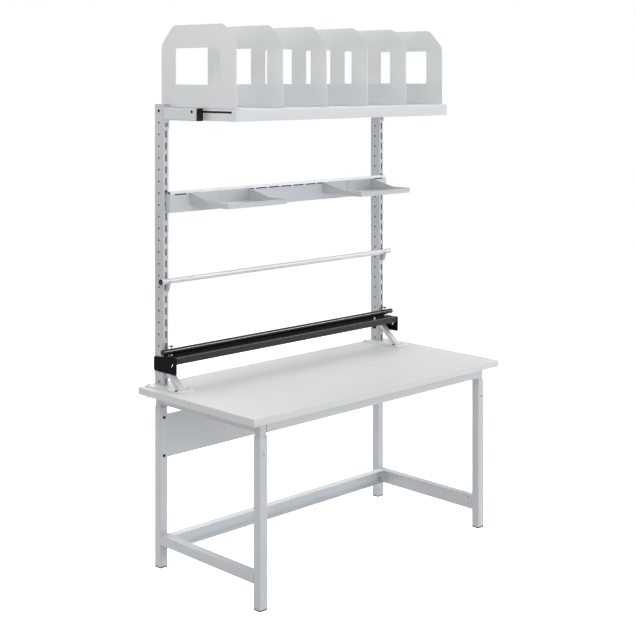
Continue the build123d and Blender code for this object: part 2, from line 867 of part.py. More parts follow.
def arm_cap():
    """End cap of the right-hand arm, flush with the tube."""
    face = RectangleRounded(arm_width, arm_height, arm_corner)
    front = arm_front_y - arm_cap_length
    cap = along_y(Pos(upright_x, arm_middle) * face, front, arm_cap_length)
    cap = fillet(cap.edges().group_by(Axis.Y)[0], arm_cap_rounding)
    inset = 2 * arm_wall + 2 * fit_gap
    plug = RectangleRounded(arm_width - inset, arm_height - inset, arm_corner - arm_wall - fit_gap)
    return cap + along_y(Pos(upright_x, arm_middle) * plug, arm_front_y, arm_cap_plug)


def shelf_bolt(y, z):
    """Right-hand shelf bolt: head outside, collar in the slot, nut inside."""
    plate_inside = shelf_half - thin_sheet - fit_gap
    head = rod_x(shelf_bolt_head_radius, upright_outer_x, upright_outer_x + shelf_bolt_head_height, y, z)
    shank = rod_x(shelf_bolt_radius, upright_inner_x, upright_outer_x, y, z)
    collar = rod_x(shelf_collar_radius, plate_inside, upright_inner_x, y, z)
    nut = hex_x(shelf_nut_radius, plate_inside - shelf_nut_height, plate_inside, y, z)
    return head + shank + collar + nut


def shelf_board():
    """Folded sheet shelf with a long slot at each bolt of its ends."""
    x_range = (-shelf_half, shelf_half)
    y_range = (shelf_front_y, shelf_rear_y)
    shelf = block(x_range, y_range, (shelf_bottom, shelf_top))
    shelf = fillet(shelf.edges().filter_by(Axis.X).group_by(Axis.Z)[-1], bend_radius)
    inner_y = (shelf_front_y + thin_sheet, shelf_rear_y - thin_sheet)
    inner_x = (-shelf_half + thin_sheet, shelf_half - thin_sheet)
    shelf -= block(inner_x, inner_y, (shelf_bottom + thin_sheet, shelf_top - thin_sheet))
    open_y = (inner_y[0] + shelf_return, inner_y[1] - shelf_return)
    shelf -= block(inner_x, open_y, (shelf_bottom - overrun, shelf_bottom + overrun + thin_sheet))
    front_slot, rear_slot, z = shelf_slot_ends()
    for start, end in (front_slot, rear_slot):
        face = SlotCenterToCenter(end - start, shelf_slot_height)
        for x in (-shelf_half - overrun, shelf_half - thin_sheet - overrun):
            shelf -= along_x(Pos((start + end) / 2, z) * face, x, thin_sheet + 2 * overrun)
    return shelf


def divider_shoulder():
    """Height at which the slanted corners of a divider begin."""
    return shelf_top + slide_gap + divider_height - divider_chamfer


def divider_profile():
    """Side view of a divider, front to the left, with its hand window."""
    bottom = shelf_top + slide_gap
    top = bottom + divider_height
    plate = outline([
        (shelf_front_y, bottom),
        (shelf_front_y, divider_shoulder()),
        (shelf_front_y + divider_chamfer, top),
        (shelf_rear_y - divider_chamfer, top),
        (shelf_rear_y, divider_shoulder()),
        (shelf_rear_y, bottom),
    ])
    upper = plate.vertices().sort_by(Axis.Y)[2:]
    plate = fillet(upper, divider_corner)
    window = RectangleRounded(shelf_depth - 2 * window_inset, window_height, window_corner)
    window_z = bottom + window_bottom + window_height / 2
    return plate - Pos((shelf_front_y + shelf_rear_y) / 2, window_z) * window


def divider(x):
    """Sheet divider with a bent foot on the shelf and a hem at the front."""
    bottom = shelf_top + slide_gap
    plate = along_x(divider_profile(), x, thin_sheet)
    foot = block((x, x + divider_foot), (shelf_front_y, shelf_rear_y), (bottom, bottom + thin_sheet))
    hem = block(
        (x, x + divider_hem_thickness),
        (shelf_front_y, shelf_front_y + divider_hem),
        (bottom, divider_shoulder() - divider_hem_drop))
    body = plate + foot + hem
    bend = body.edges().filter_by(Axis.Y).group_by(Axis.Z)[0].sort_by(Axis.X)[0]
    return fillet(bend, divider_bend)


def divider_x(index):
    """Left face of one divider at rest."""
    free = shelf_width - divider_foot - 2 * fit_gap
    return -shelf_half + fit_gap + index * free / (divider_count - 1)


def tray_rail():
    """Slotted hanging rail: leaning lip, a top turned back and down, and a bottom return."""
    front = tray_rail_front_y
    lip_y = front + tray_rail_lip_lean
    lip_z = tray_rail_bend + tray_rail_lip
    skirt_y = lip_y + tray_rail_top
    section = outline([
        (front, tray_rail_bottom),
        (front, tray_rail_bend),
        (lip_y, lip_z),
        (skirt_y, lip_z),
        (skirt_y, lip_z - tray_rail_skirt),
        (skirt_y - sheet, lip_z - tray_rail_skirt),
        (skirt_y - sheet, lip_z - sheet),
        (lip_y + sheet, lip_z - sheet),
        (front + sheet, tray_rail_bend),
        (front + sheet, tray_rail_bottom + sheet),
        (front + tray_rail_return, tray_rail_bottom + sheet),
        (front + tray_rail_return, tray_rail_bottom),
    ])
    rail = along_x(section, -tray_rail_half, 2 * tray_rail_half)
    slots = []
    for index in range(tray_slot_count):
        x = (index - (tray_slot_count - 1) / 2) * tray_slot_pitch
        slots.append(block(
            (x - tray_slot_length / 2, x + tray_slot_length / 2),
            (front - overrun, front + sheet + overrun),
            (tray_slot_z - tray_slot_height / 2, tray_slot_z + tray_slot_height / 2)))
    return rail - slots


def tray_rail_bracket():
    """Right-hand end plate of the tray rail, hooked into two slots."""
    rear = upright_front_y - fit_gap
    x_range = (upright_x - hook_plate / 2, upright_x + hook_plate / 2)
    top = tray_rail_bend - tray_bracket_top_gap
    plate = block(x_range, (tray_rail_front_y, rear), (tray_rail_bottom, top))
    for index in tray_bracket_slots:
        plate += slot_hook(index, upright_x, hook_plate)
    return plate


def tray_lock_screw():
    """Right-hand screw above the rail's upper hook."""
    z = slot_z(tray_lock_index) + slot_floor_offset - tray_lock_drop
    inside = upright_front_y + upright_wall
    head_y = (upright_front_y - tray_lock_head_height, upright_front_y)
    head = rod_y_axis(tray_lock_head_radius, *head_y, upright_x, z)
    shank = rod_y_axis(slot_bolt_radius, upright_front_y, inside, upright_x, z)
    return head + shank + hex_y(tray_lock_nut_radius, inside, inside + tray_lock_nut_height, upright_x, z)


def tray():
    """Right-hand folded tray that hangs on the slotted rail."""
    rear = tray_rail_front_y - slide_gap
    front = rear - tray_depth
    top = tray_slot_z + tray_slot_height / 2 - slide_gap
    bottom = top - tray_height
    low = bottom + tray_low_height
    left = tray_centre - tray_width / 2
    right = tray_centre + tray_width / 2
    side = outline([
        (rear, bottom),
        (rear, top),
        (rear - tray_slope_start, top),
        (rear - tray_slope_end, low),
        (front, low),
        (front, bottom),
    ])
    body = along_x(side, left, tray_width)
    floor_edges = body.edges().group_by(Axis.Z)[0]
    body = fillet(floor_edges, tray_bend)
    inside_z = (bottom + thin_sheet, top + overrun)
    inside_y = (front + thin_sheet, rear - thin_sheet)
    body -= block((left + thin_sheet, right - thin_sheet), inside_y, inside_z)
    seam_x = (tray_centre - tray_seam / 2, tray_centre + tray_seam / 2)
    seam_y = (rear - thin_sheet - overrun, rear + overrun)
    body -= block(seam_x, seam_y, inside_z)
    body -= rod_y_axis(tray_hole_radius, *seam_y, tray_centre, bottom + tray_hole_rise)
    catch_y = tray_rail_front_y + sheet + slide_gap
    for side_sign in (-1, 1):
        x = tray_centre + side_sign * tray_hook_spread
        x_range = (x - tray_hook_width / 2, x + tray_hook_width / 2)
        body += block(x_range, (rear, catch_y + thin_sheet), (top - thin_sheet, top))
        body += block(x_range, (catch_y, catch_y + thin_sheet), (top - tray_hook_drop, top))
    return body


def rod_z_axis():
    """Height of the roll rod's axis."""
    return slot_z(rod_slot_index) + rod_rise


def rod_holder():
    """Right-hand cradle plate of the roll rod, hooked into one slot."""
    rear = upright_front_y - fit_gap
    front = rod_y - rod_radius - holder_front
    bottom = rod_z_axis() - rod_radius - holder_below
    hook_bottom = slot_z(rod_slot_index) - slot_floor_offset + fit_gap
    top = rod_z_axis() + holder_horn
    plate = outline([
        (rear, hook_bottom),
        (rear, top),
        (front, top),
        (front, bottom + holder_below),
        (front + holder_below, hook_bottom),
    ])
    plate -= Pos(rod_y, rod_z_axis()) * Circle(rod_radius + spin_gap)
    open_z = rod_z_axis() - holder_land_drop
    plate -= outline([
        (rod_y, open_z),
        (rear + overrun, open_z),
        (rear + overrun, top + overrun),
        (rod_y, top + overrun),
    ])
    plate -= outline([
        (rod_y - rod_radius - spin_gap, rod_z_axis()),
        (rod_y, rod_z_axis()),
        (rod_y, top + overrun),
        (rod_y - rod_radius - spin_gap, top + overrun),
    ])
    holder = along_x(plate, upright_x - hook_plate / 2, hook_plate)
    return holder + slot_hook(rod_slot_index, upright_x, hook_plate)


def long_tube(radius, wall, half_length, y, z):
    """Round tube along X, centred on the bench."""
    face = Pos(y, z) * (Circle(radius) - Circle(radius - wall))
    return along_x(face, -half_length, 2 * half_length)


def tube_cap(radius, wall, half_length, y, z):
    """Right-hand plug in the end of a round tube."""
    cap = rod_x(radius, half_length, half_length + rod_cap_thickness, y, z)
    cap = fillet(cap.edges().group_by(Axis.X)[-1], rod_cap_thickness / 2)
    return cap + rod_x(radius - wall - fit_gap, half_length - rod_cap_plug, half_length, y, z)


def pressure_tube():
    """Bar that holds the film down, bored for its two guide pins."""
    tube = long_tube(bar_radius, bar_wall, bar_half_length, bar_axis_y, bar_axis_z)
    for x in (-pin_x, pin_x):
        bore_z = (bar_axis_z - bar_radius - overrun, bar_axis_z + bar_radius + overrun)
        tube -= rod_z(pin_radius + pin_hole_gap, *bore_z, x, bar_axis_y)
    return tube


def guide_pin():
    """Right-hand pin that guides and limits the bar."""
    head_z = bar_axis_z + bar_radius + bar_lift + fit_gap
    shank = rod_z(pin_radius, cutter_top - cutter_wall, head_z, pin_x, bar_axis_y)
    return shank + rod_z(pin_head_radius, head_z, head_z + pin_head_height, pin_x, bar_axis_y)


def pin_nut():
    """Right-hand nut that locks the pin on the rear cutter rail."""
    nut = hex_z(pin_nut_radius, cutter_top, rib_top, pin_x, bar_axis_y)
    return nut - rod_z(pin_radius + spin_gap, cutter_top - overrun, rib_top + overrun, pin_x, bar_axis_y)


def half_rail_points(edge_y, direction):
    """Outline of one cutter rail; direction points from it to the slit."""
    slit = cutter_slit_y - direction * cutter_slit / 2
    groove = cutter_slit_y - direction * cutter_groove / 2
    lip = cutter_slit_y - direction * cutter_lip_slit / 2
    return [
        (edge_y, cutter_bottom),
        (edge_y, cutter_top),
        (slit, cutter_top),
        (slit, groove_top),
        (groove, groove_top),
        (groove, groove_bottom),
        (lip, groove_bottom),
        (lip, cutter_bottom),
    ]


def rail_hollow(edge_y, direction):
    """Inside (y range, z range) of one cutter rail."""
    groove = cutter_slit_y - direction * (cutter_groove / 2 + cutter_wall)
    y_range = sorted((edge_y + direction * cutter_wall, groove))
    return y_range, (cutter_bottom + cutter_wall, cutter_top - cutter_wall)


def tab_screw_x():
    """Middle of the screws that hold the cutter rails to the end plates."""
    return cutter_half - tab_screw_inset


def front_screw_z():
    """Height of the screw on the front rail's face."""
    return (cutter_bottom + cutter_top) / 2


def rear_screw_y():
    """Middle of the screw under the rear rail."""
    hollow_y = rail_hollow(cutter_rear_y, -1)[0]
    return (hollow_y[0] + hollow_y[1]) / 2


def cutter_front_rail():
    """Front half of the knife track, a closed extrusion."""
    body = along_x(outline(half_rail_points(cutter_front_y, 1)), -cutter_half, 2 * cutter_half)
    edges = body.edges().filter_by(Axis.X).group_by(Axis.Z)[-1].sort_by(Axis.Y)[0]
    body = fillet(edges, cutter_edge)
    y_range, z_range = rail_hollow(cutter_front_y, 1)
    body -= block((-cutter_half - overrun, cutter_half + overrun), y_range, z_range)
    for x in (-tab_screw_x(), tab_screw_x()):
        hole_y = (cutter_front_y - overrun, y_range[0] + overrun)
        body -= rod_y_axis(tab_screw_radius + fit_gap, *hole_y, x, front_screw_z())
    return body


def cutter_rear_rail():
    """Rear half of the knife track, with the rib that the bar rests on."""
    body = along_x(outline(half_rail_points(cutter_rear_y, -1)), -cutter_half, 2 * cutter_half)
    rib_half = pin_x - rib_end_gap
    rib_y = (bar_axis_y - rib_width / 2, bar_axis_y + rib_width / 2)
    body += block((-rib_half, rib_half), rib_y, (cutter_top, rib_top))
    y_range, z_range = rail_hollow(cutter_rear_y, -1)
    body -= block((-cutter_half - overrun, cutter_half + overrun), y_range, z_range)
    for x in (-pin_x, pin_x):
        hole_z = (cutter_top - cutter_wall - overrun, cutter_top + overrun)
        body -= rod_z(pin_radius + spin_gap, *hole_z, x, bar_axis_y)
    for x in (-tab_screw_x(), tab_screw_x()):
        hole_z = (cutter_bottom - overrun, z_range[0] + overrun)
        body -= rod_z(tab_screw_radius + fit_gap, *hole_z, x, rear_screw_y())
    return body


def cutter_plate():
    """Right-hand end plate with tabs inside both cutter rails."""
    face = outline([
        (plate_front_y, plate_bottom),
        (plate_rear_y, plate_bottom),
        (plate_rear_y, plate_rear_top),
        (plate_front_y, plate_front_top),
    ])
    face = fillet(face.vertices(), plate_corner)
    ends = [(cutter_slit_y + y, cutter_bottom + z) for y, z in (plate_slot_low, plate_slot_high)]
    face -= SlotArc(Line(*ends), plate_slot_width)
    plate = along_x(face, cutter_half, plate_thickness)
    tab_x = (cutter_half - plate_tab_length, cutter_half)
    front_y, front_z = rail_hollow(cutter_front_y, 1)
    front_tab = block(
        tab_x,
        (front_y[0], front_y[0] + cutter_wall),
        (front_z[0] + fit_gap, front_z[1] - fit_gap))
    front_tab -= rod_y_axis(
        tab_screw_radius + fit_gap, front_y[0] - overrun, front_y[0] + cutter_wall + overrun,
        tab_screw_x(), front_screw_z())
    rear_y, rear_z = rail_hollow(cutter_rear_y, -1)
    rear_tab = block(
        tab_x,
        (rear_y[0] + fit_gap, rear_y[1] - fit_gap),
        (rear_z[0], rear_z[0] + cutter_wall))
    rear_tab -= rod_z(
        tab_screw_radius + fit_gap, rear_z[0] - overrun, rear_z[0] + cutter_wall + overrun,
        tab_screw_x(), rear_screw_y())
    stud_x = (upright_outer_x - upright_wall, upright_outer_x)
    stud = rod_x(side_hole_radius - fit_gap, *stud_x, upright_y, slot_z(plate_stud_index))
    screw_x = (cutter_half - overrun, cutter_half + plate_thickness + overrun)
    plate -= rod_x(plate_screw_radius + fit_gap, *screw_x, upright_y, slot_z(plate_screw_index))
    return plate + front_tab + rear_tab + stud


def plate_screw():
    """Right-hand screw through the end plate and the upright's wall."""
    z = slot_z(plate_screw_index)
    outer = cutter_half + plate_thickness
    inside = upright_outer_x - upright_wall
    head = rod_x(plate_screw_head_radius, outer, outer + plate_screw_head_height, upright_y, z)
    shank = rod_x(plate_screw_radius, inside, outer, upright_y, z)
    return head + shank + hex_x(plate_nut_radius, inside - plate_nut_height, inside, upright_y, z)


def tab_screws():
    """Right-hand screws: one in the front rail's face, one under the rear rail."""
    x = tab_screw_x()
    front_y = rail_hollow(cutter_front_y, 1)[0]
    z = front_screw_z()
    head = rod_y_axis(tab_screw_head_radius, cutter_front_y - tab_screw_head_height, cutter_front_y, x, z)
    front = head + rod_y_axis(tab_screw_radius, cutter_front_y, front_y[0] + cutter_wall, x, z)
    rear_z = rail_hollow(cutter_rear_y, -1)[1]
    y = rear_screw_y()
    head = rod_z(tab_screw_head_radius, cutter_bottom - tab_screw_head_height, cutter_bottom, x, y)
    rear = head + rod_z(tab_screw_radius, cutter_bottom, rear_z[0] + cutter_wall, x, y)
    return [front, rear]


def knife_slider():
    """Plastic block that runs in the groove between the two rails."""
    x_range = (knife_x - knife_length / 2, knife_x + knife_length / 2)
    half = cutter_groove / 2 - slide_gap
    y_range = (cutter_slit_y - half, cutter_slit_y + half)
    body = block(x_range, y_range, (groove_bottom + slide_gap, groove_top - slide_gap))
    seat_y = blade_thickness / 2 + spin_gap
    seat_z = groove_top - slide_gap - blade_seat
    body -= block(
        (knife_x - blade_length / 2 - spin_gap, knife_x + blade_length / 2 + spin_gap),
        (cutter_slit_y - seat_y, cutter_slit_y + seat_y),
        (seat_z, groove_top))
    stem_top = groove_bottom + slide_gap + knife_stem_depth
    body -= rod_z(knife_stem_radius + spin_gap, groove_bottom - overrun, stem_top, knife_x, cutter_slit_y)
    return body


def knife_blade():
    """Trapezoid blade that stands up through the slit."""
    bottom = groove_top - slide_gap - blade_seat
    top = cutter_top + blade_rise
    face = outline([
        (knife_x - blade_length / 2, bottom),
        (knife_x + blade_length / 2, bottom),
        (knife_x + blade_length / 2, groove_top),
        (knife_x + blade_tip, top),
        (knife_x, top),
        (knife_x - blade_length / 2, groove_top),
    ])
    return along_y(face, cutter_slit_y - blade_thickness / 2, blade_thickness)


def knife_knob():
    """Turned knob under the track, on a stem into the slider."""
    knob_top = cutter_bottom - knife_knob_drop
    knob = rod_z(knife_knob_radius, knob_top - knife_knob_height, knob_top, knife_x, cutter_slit_y)
    knob = fillet(knob.edges().group_by(Axis.Z)[0], knife_knob_drop)
    stem_top = groove_bottom + slide_gap + knife_stem_depth
    return knob + rod_z(knife_stem_radius, knob_top, stem_top, knife_x, cutter_slit_y)


def group(solids):
    """One node of several separate solids."""
    return Compound(children=[solid for item in solids for solid in item.solids()])


def both(shape):
    """The piece on the right and its mirror image on the left."""
    return [shape, flip(shape)]


def leg_positions():
    """Middle (x, y) of the four legs."""
    return [(x, y) for x in (-leg_x, leg_x) for y in (leg_front_y, leg_rear_y)]


def lower_frame_nodes():
    """Pieces that stand on the floor."""
    nodes = {}
    for is_rear, end in ((False, "front"), (True, "rear")):
        leg = outer_leg(is_rear)
        nodes[f"outer_leg_{end}_right"] = leg
        nodes[f"outer_leg_{end}_left"] = flip(leg)
    nodes["leg_feet"] = group([leg_foot(x, y) for x, y in leg_positions()])
    screws = []
    for is_rear, y in ((False, leg_front_y), (True, leg_rear_y)):
        for z in clamp_heights(is_rear):
            screws += both(clamp_screw(leg_x, y, z))
    nodes["leg_clamp_screws"] = group(screws)
    rail = lower_side_rail()
    nodes["lower_side_rail_right"] = rail
    nodes["lower_side_rail_left"] = flip(rail)
    nodes["lower_rear_rail"] = lower_rear_rail()
    bolts = []
    for is_rear in (False, True):
        for y, z in rail_bolt_places(is_rear):
            bolts += both(rail_bolt(is_rear, y, z))
    nodes["lower_rail_bolts"] = group(bolts)
    nodes["modesty_panel"] = modesty_panel()
    screws = []
    for z in panel_screw_heights():
        screws += both(panel_screw(z))
    nodes["panel_screws"] = group(screws)
    return nodes


def top_frame_nodes():
    """Worktop, inner legs and the rails under the worktop."""
    nodes = {}
    for is_rear, end in ((False, "front"), (True, "rear")):
        leg = inner_leg(is_rear)
        nodes[f"inner_leg_{end}_right"] = leg
        nodes[f"inner_leg_{end}_left"] = flip(leg)
    rail = upper_side_rail()
    nodes["upper_side_rail_right"] = rail
    nodes["upper_side_rail_left"] = flip(rail)
    nodes["front_rail"] = cross_rail(leg_front_y - outer_leg_side / 2, 1)
    nodes["upper_rear_rail"] = cross_rail(leg_rear_y + outer_leg_side / 2, -1)
    nodes["worktop"] = worktop_board()
    nodes["worktop_edge_band"] = worktop_edge_band()
    screws = [worktop_screw(x, y) for x in (-leg_x, leg_x) for y in worktop_screw_ys()]
    nodes["worktop_screws"] = group(screws)
    return nodes


def upright_nodes():
    """Uprights with what is fixed to them."""
    nodes = {}
    foot = upright_foot()
    nodes["upright_foot_right"] = foot
    nodes["upright_foot_left"] = flip(foot)
    bolts = []
    for x, y in foot_bolt_places():
        bolts += both(foot_bolt(x, y))
    nodes["upright_foot_bolts"] = group(bolts)
    post = upright()
    nodes["upright_right"] = post
    nodes["upright_left"] = flip(post)
    nodes["upright_caps"] = group(both(upright_cap()))
    arm = shelf_arm()
    nodes["shelf_arm_right"] = arm
    nodes["shelf_arm_left"] = flip(arm)
    nodes["arm_caps"] = group(both(arm_cap()))
    nodes["slot_bolts"] = group(both(arm_bolt()) + both(tray_lock_screw()))
    bolts = []
    for y, z in shelf_bolt_places():
        bolts += both(shelf_bolt(y, z))
    nodes["shelf_bolts"] = group(bolts)
    nodes["tray_rail"] = tray_rail()
    nodes["tray_rail_brackets"] = group(both(tray_rail_bracket()))
    nodes["rod_holders"] = group(both(rod_holder()))
    return nodes


def shelf_nodes():
    """Shelf, dividers and trays."""
    nodes = {"shelf": shelf_board()}
    for index in range(divider_count):
        nodes[f"divider_{index + 1}"] = divider(divider_x(index))
    right_tray = tray()
    nodes["tray_right"] = right_tray
    nodes["tray_left"] = flip(right_tray)
    return nodes


def roll_nodes():
    """Roll rod with its end caps."""
    z = rod_z_axis()
    cap = tube_cap(rod_radius, rod_wall, rod_half_length, rod_y, z)
    return {
        "roll_rod": long_tube(rod_radius, rod_wall, rod_half_length, rod_y, z),
        "roll_rod_caps": group(both(cap)),
    }


def cutter_nodes():
    """Film cutter: track, end plates, bar and knife."""
    plate = cutter_plate()
    cap = tube_cap(bar_radius, bar_wall, bar_half_length, bar_axis_y, bar_axis_z)
    screws = both(plate_screw())
    for screw in tab_screws():
        screws += both(screw)
    return {
        "cutter_plate_right": plate,
        "cutter_plate_left": flip(plate),
        "cutter_front_rail": cutter_front_rail(),
        "cutter_rear_rail": cutter_rear_rail(),
        "cutter_screws": group(screws),
        "guide_pins": group(both(guide_pin())),
        "guide_pin_nuts": group(both(pin_nut())),
        "pressure_tube": pressure_tube(),
        "pressure_tube_caps": group(both(cap)),
        "knife_slider": knife_slider(),
        "knife_blade": knife_blade(),
        "knife_knob": knife_knob(),
    }


def main():
    """Write one STEP file per node."""
    os.makedirs("parts", exist_ok=True)
    nodes = {}
    nodes.update(lower_frame_nodes())
    nodes.update(top_frame_nodes())
    nodes.update(upright_nodes())
    nodes.update(shelf_nodes())
    nodes.update(roll_nodes())
    nodes.update(cutter_nodes())
    for name, shape in nodes.items():
        export_step(shape, os.path.join("parts", f"{name}.step"))
    print(len(nodes), "nodes written")


if __name__ == "__main__":
    main()
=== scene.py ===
"""Looks of a packing bench: finishes, fasteners, welds, edging, studio and camera.

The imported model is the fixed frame. Its nodes keep their shapes and get finishes here, and the
screws, nuts, caps, edging, welds, slot guides and knob are modelled as pieces that ride on its
bodies. Lengths are in metres, +Z up, +X along the bench to the right and -Y towards the user;
only the sizes of screws are in millimetres.
"""

import json
import logging
import math
from dataclasses import dataclass
from enum import Enum
from functools import cache, reduce
from typing import Callable, Sequence

import bmesh
import bpy
from bmesh.types import BMEdge, BMesh, BMFace, BMVert
from mathutils import Matrix, Vector


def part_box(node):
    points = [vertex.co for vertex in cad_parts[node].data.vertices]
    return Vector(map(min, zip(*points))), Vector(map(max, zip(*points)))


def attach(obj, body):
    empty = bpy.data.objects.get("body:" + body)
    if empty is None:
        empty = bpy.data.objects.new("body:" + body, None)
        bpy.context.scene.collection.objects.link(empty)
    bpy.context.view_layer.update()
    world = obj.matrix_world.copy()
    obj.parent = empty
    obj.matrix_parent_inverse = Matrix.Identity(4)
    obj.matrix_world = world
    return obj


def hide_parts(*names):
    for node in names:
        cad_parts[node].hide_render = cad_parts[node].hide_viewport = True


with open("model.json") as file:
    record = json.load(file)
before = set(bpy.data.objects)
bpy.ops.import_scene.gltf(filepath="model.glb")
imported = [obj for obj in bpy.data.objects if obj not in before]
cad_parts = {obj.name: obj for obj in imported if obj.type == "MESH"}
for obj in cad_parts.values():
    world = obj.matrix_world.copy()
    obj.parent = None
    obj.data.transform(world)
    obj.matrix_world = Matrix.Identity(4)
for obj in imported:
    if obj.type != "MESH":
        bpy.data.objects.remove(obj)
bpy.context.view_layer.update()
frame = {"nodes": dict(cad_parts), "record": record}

MILLIMETRE = 0.001
MERGE_GAP = 1e-6
FLAT = 0.999
X, Y, Z = range(3)
SIDES = ("left", "right")
CORNERS = ("front_left", "front_right", "rear_left", "rear_right")
NOISE_LOW, NOISE_HIGH = 0.3, 0.7
COLOUR_A, COLOUR_B, COLOUR_OUT = 6, 7, 2
log = logging.getLogger("bench")

Triple = tuple[float, float, float]
Range = tuple[float, float]
Outline = list[tuple[float, float]]
Socket = bpy.types.NodeSocket


@dataclass(frozen=True)
class Box:
    """Upright box: the extent of a solid, or a place where a finish differs."""

    low: Vector
    high: Vector

    @classmethod
    def spanning(cls, *ranges: Range) -> "Box":
        """Makes a box from its lowest and highest value along X, Y and Z."""
        return cls(*(Vector(corner) for corner in zip(*ranges)))

    @property
    def middle(self) -> Vector:
        """Centre of the box."""
        return (self.low + self.high) / 2

    @property
    def size(self) -> Vector:
        """Length of the box along each axis."""
        return self.high - self.low

    @property
    def half(self) -> Vector:
        """Half of the box's size."""
        return self.size / 2

    def narrowed(self, **room: float) -> "Box":
        """Makes a box about the same middle, with new half widths along the named axes."""
        half = Vector(room.get(axis, self.half["xyz".index(axis)]) for axis in "xyz")
        return Box(self.middle - half, self.middle + half)


Patch = tuple[Box, Triple]
Part = tuple[BMesh, Matrix] | tuple[BMesh, Matrix, str, str]
Inputs = dict[str | int, float | Sequence[float] | Socket]


def box_of(node: str) -> Box:
    """Gives the box of a CAD node at rest."""
    return Box(*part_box(node))


@dataclass(frozen=True)
class Punched:
    """Row of openings up the uprights, each with a rim of painted shade round it."""

    face_axis: int
    face: float
    across_axis: int
    across: float
    half_across: float
    half_along: float
    first: float = 0.7885
    pitch: float = 0.05
    skin: float = 0.0006


@dataclass(frozen=True)
class ShadeAndSheen:
    """Places on the right half of the bench, mirrored to the left end, where shade, sheen and
    highlights are painted into the colour.
    """

    wall: float = 0.002
    skin: float = 0.0002
    slot_shade: float = 0.0032
    hole_shade: float = 0.0042
    rim: float = 0.0009
    slot_half: float = 0.0025
    slot_reach: float = 0.0145
    hole_radius: float = 0.0033
    arm_height: float = 0.053
    rail_skin: float = 0.0004
    rail_skirt: float = 0.0146
    rail_sheet: float = 0.0018
    slot_drop: float = 0.034
    lip: float = 0.0108
    lip_slope: float = 1.7
    track_height: float = 0.028
    track_skin: float = 0.0004
    highlight_width: float = 0.0034
    highlight_depth: float = 0.0012
    # The three tones below: painted shade, then the painted sheen and the painted highlight of the
    # knife track.
    dark: Triple = (0.012, 0.012, 0.013)
    painted_sheen: Triple = (0.046, 0.046, 0.046)
    bright: Triple = (0.19, 0.19, 0.19)

    def in_upright(self) -> tuple[Patch, ...]:
        """Finds the inside of an upright and the walls of its slots and holes, where shade is
        painted dark.

        Returns:
            Each place with its colour.
        """
        tube, wall = box_of("upright_right"), self.wall / 2
        inside = tube.narrowed(x=tube.half.x - wall, y=tube.half.y - wall)
        slots = tube.narrowed(x=self.slot_shade, y=tube.half.y - self.skin)
        holes = tube.narrowed(x=tube.half.x - self.skin, y=self.hole_shade)
        return (inside, self.dark), (slots, self.dark), (holes, self.dark)

    def upright_rims(self) -> tuple[Punched, ...]:
        """Finds the rims of the uprights' front slots and of the holes in both sides, painted dark
        as shade.

        Returns:
            The row of slots and both rows of holes.
        """
        tube, rim = box_of("upright_right"), self.rim
        slots = Punched(
            Y, tube.low.y, X, tube.middle.x, self.slot_half + rim, self.slot_reach + rim)
        reach = self.hole_radius + rim
        sides = (tube.low.x, tube.high.x)
        return (slots, *(Punched(X, x, Y, tube.middle.y, reach, reach) for x in sides))

    def in_arm(self) -> tuple[Patch, ...]:
        """Finds the inside of a shelf arm's tube, in front of its plate, where shade is painted
        dark.

        Returns:
            Each place with its colour.
        """
        arm, top = box_of("shelf_arm_right"), box_of("shelf").high.z
        rear = box_of("upright_right").low.y - self.wall
        tube = Box.spanning(
            (arm.low.x, arm.high.x), (arm.low.y, rear), (top - self.arm_height, top))
        wall = self.wall / 2
        return ((tube.narrowed(x=tube.half.x - wall, z=tube.half.z - wall), self.dark),)

    def in_rail(self) -> tuple[Patch, ...]:
        """Finds the space behind the tray rail's slots, below and behind its leaning lip, where
        shade is painted dark.

        Returns:
            Each place with its colour.
        """
        low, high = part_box("tray_rail")
        along, rear, bend = (low.x, high.x), low.y + self.rail_skirt, high.z - self.lip
        slots = Box.spanning(
            along, (low.y + self.rail_skin, rear), (high.z - self.slot_drop, bend))
        above = Box.spanning(
            along, (low.y + self.lip / self.lip_slope, rear), (bend, high.z - self.rail_sheet))
        return (slots, self.dark), (above, self.dark)

    def on_track(self) -> tuple[Patch, ...]:
        """Finds the knife track's front, painted lighter as a sheen, and its upper edge, painted
        as a highlight.

        Returns:
            Each place with its colour.
        """
        low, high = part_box("cutter_front_rail")
        along, skin, depth = (low.x, high.x), self.track_skin, self.highlight_depth
        top = low.z + self.track_height
        face = Box.spanning(along, (low.y - skin, low.y + skin), (low.z - skin, top + skin))
        edge = Box.spanning(
            along, (low.y - depth, low.y + self.highlight_width), (top - depth, top + depth))
        return (face, self.painted_sheen), (edge, self.bright)


def grey(level: float, warmth: float = 0.0) -> Triple:
    """Gives a near-neutral linear colour, its red above and its blue below by the warmth."""
    return level * (1 + warmth), level, level * (1 - warmth)


def feed(node: bpy.types.Node, inputs: Inputs) -> None:
    """Sets or links a node's inputs.

    Args:
        node: The node.
        inputs: Value, or socket to link from, by the input's name or number.
    """
    for name, value in inputs.items():
        if isinstance(value, Socket):
            node.id_data.links.new(value, node.inputs[name])
        else:
            node.inputs[name].default_value = value


def add_node(tree: bpy.types.NodeTree, kind: str, inputs: Inputs | None = None,
             **options: str) -> bpy.types.Node:
    """Adds a node to a tree.

    Args:
        tree: The tree.
        kind: Blender's name of the kind of node.
        inputs: Value, or socket to link from, by the input's name or number.
        options: The node's own options by name.

    Returns:
        The node.
    """
    node = tree.nodes.new(kind)
    for option, value in options.items():
        setattr(node, option, value)
    feed(node, inputs or {})
    return node


@dataclass(frozen=True)
class Pattern:
    """Noise or cells in object space, by waves or cells per metre."""

    scale: float
    detail: float = 2.0
    stretch: Triple = (1, 1, 1)
    cells: bool = False


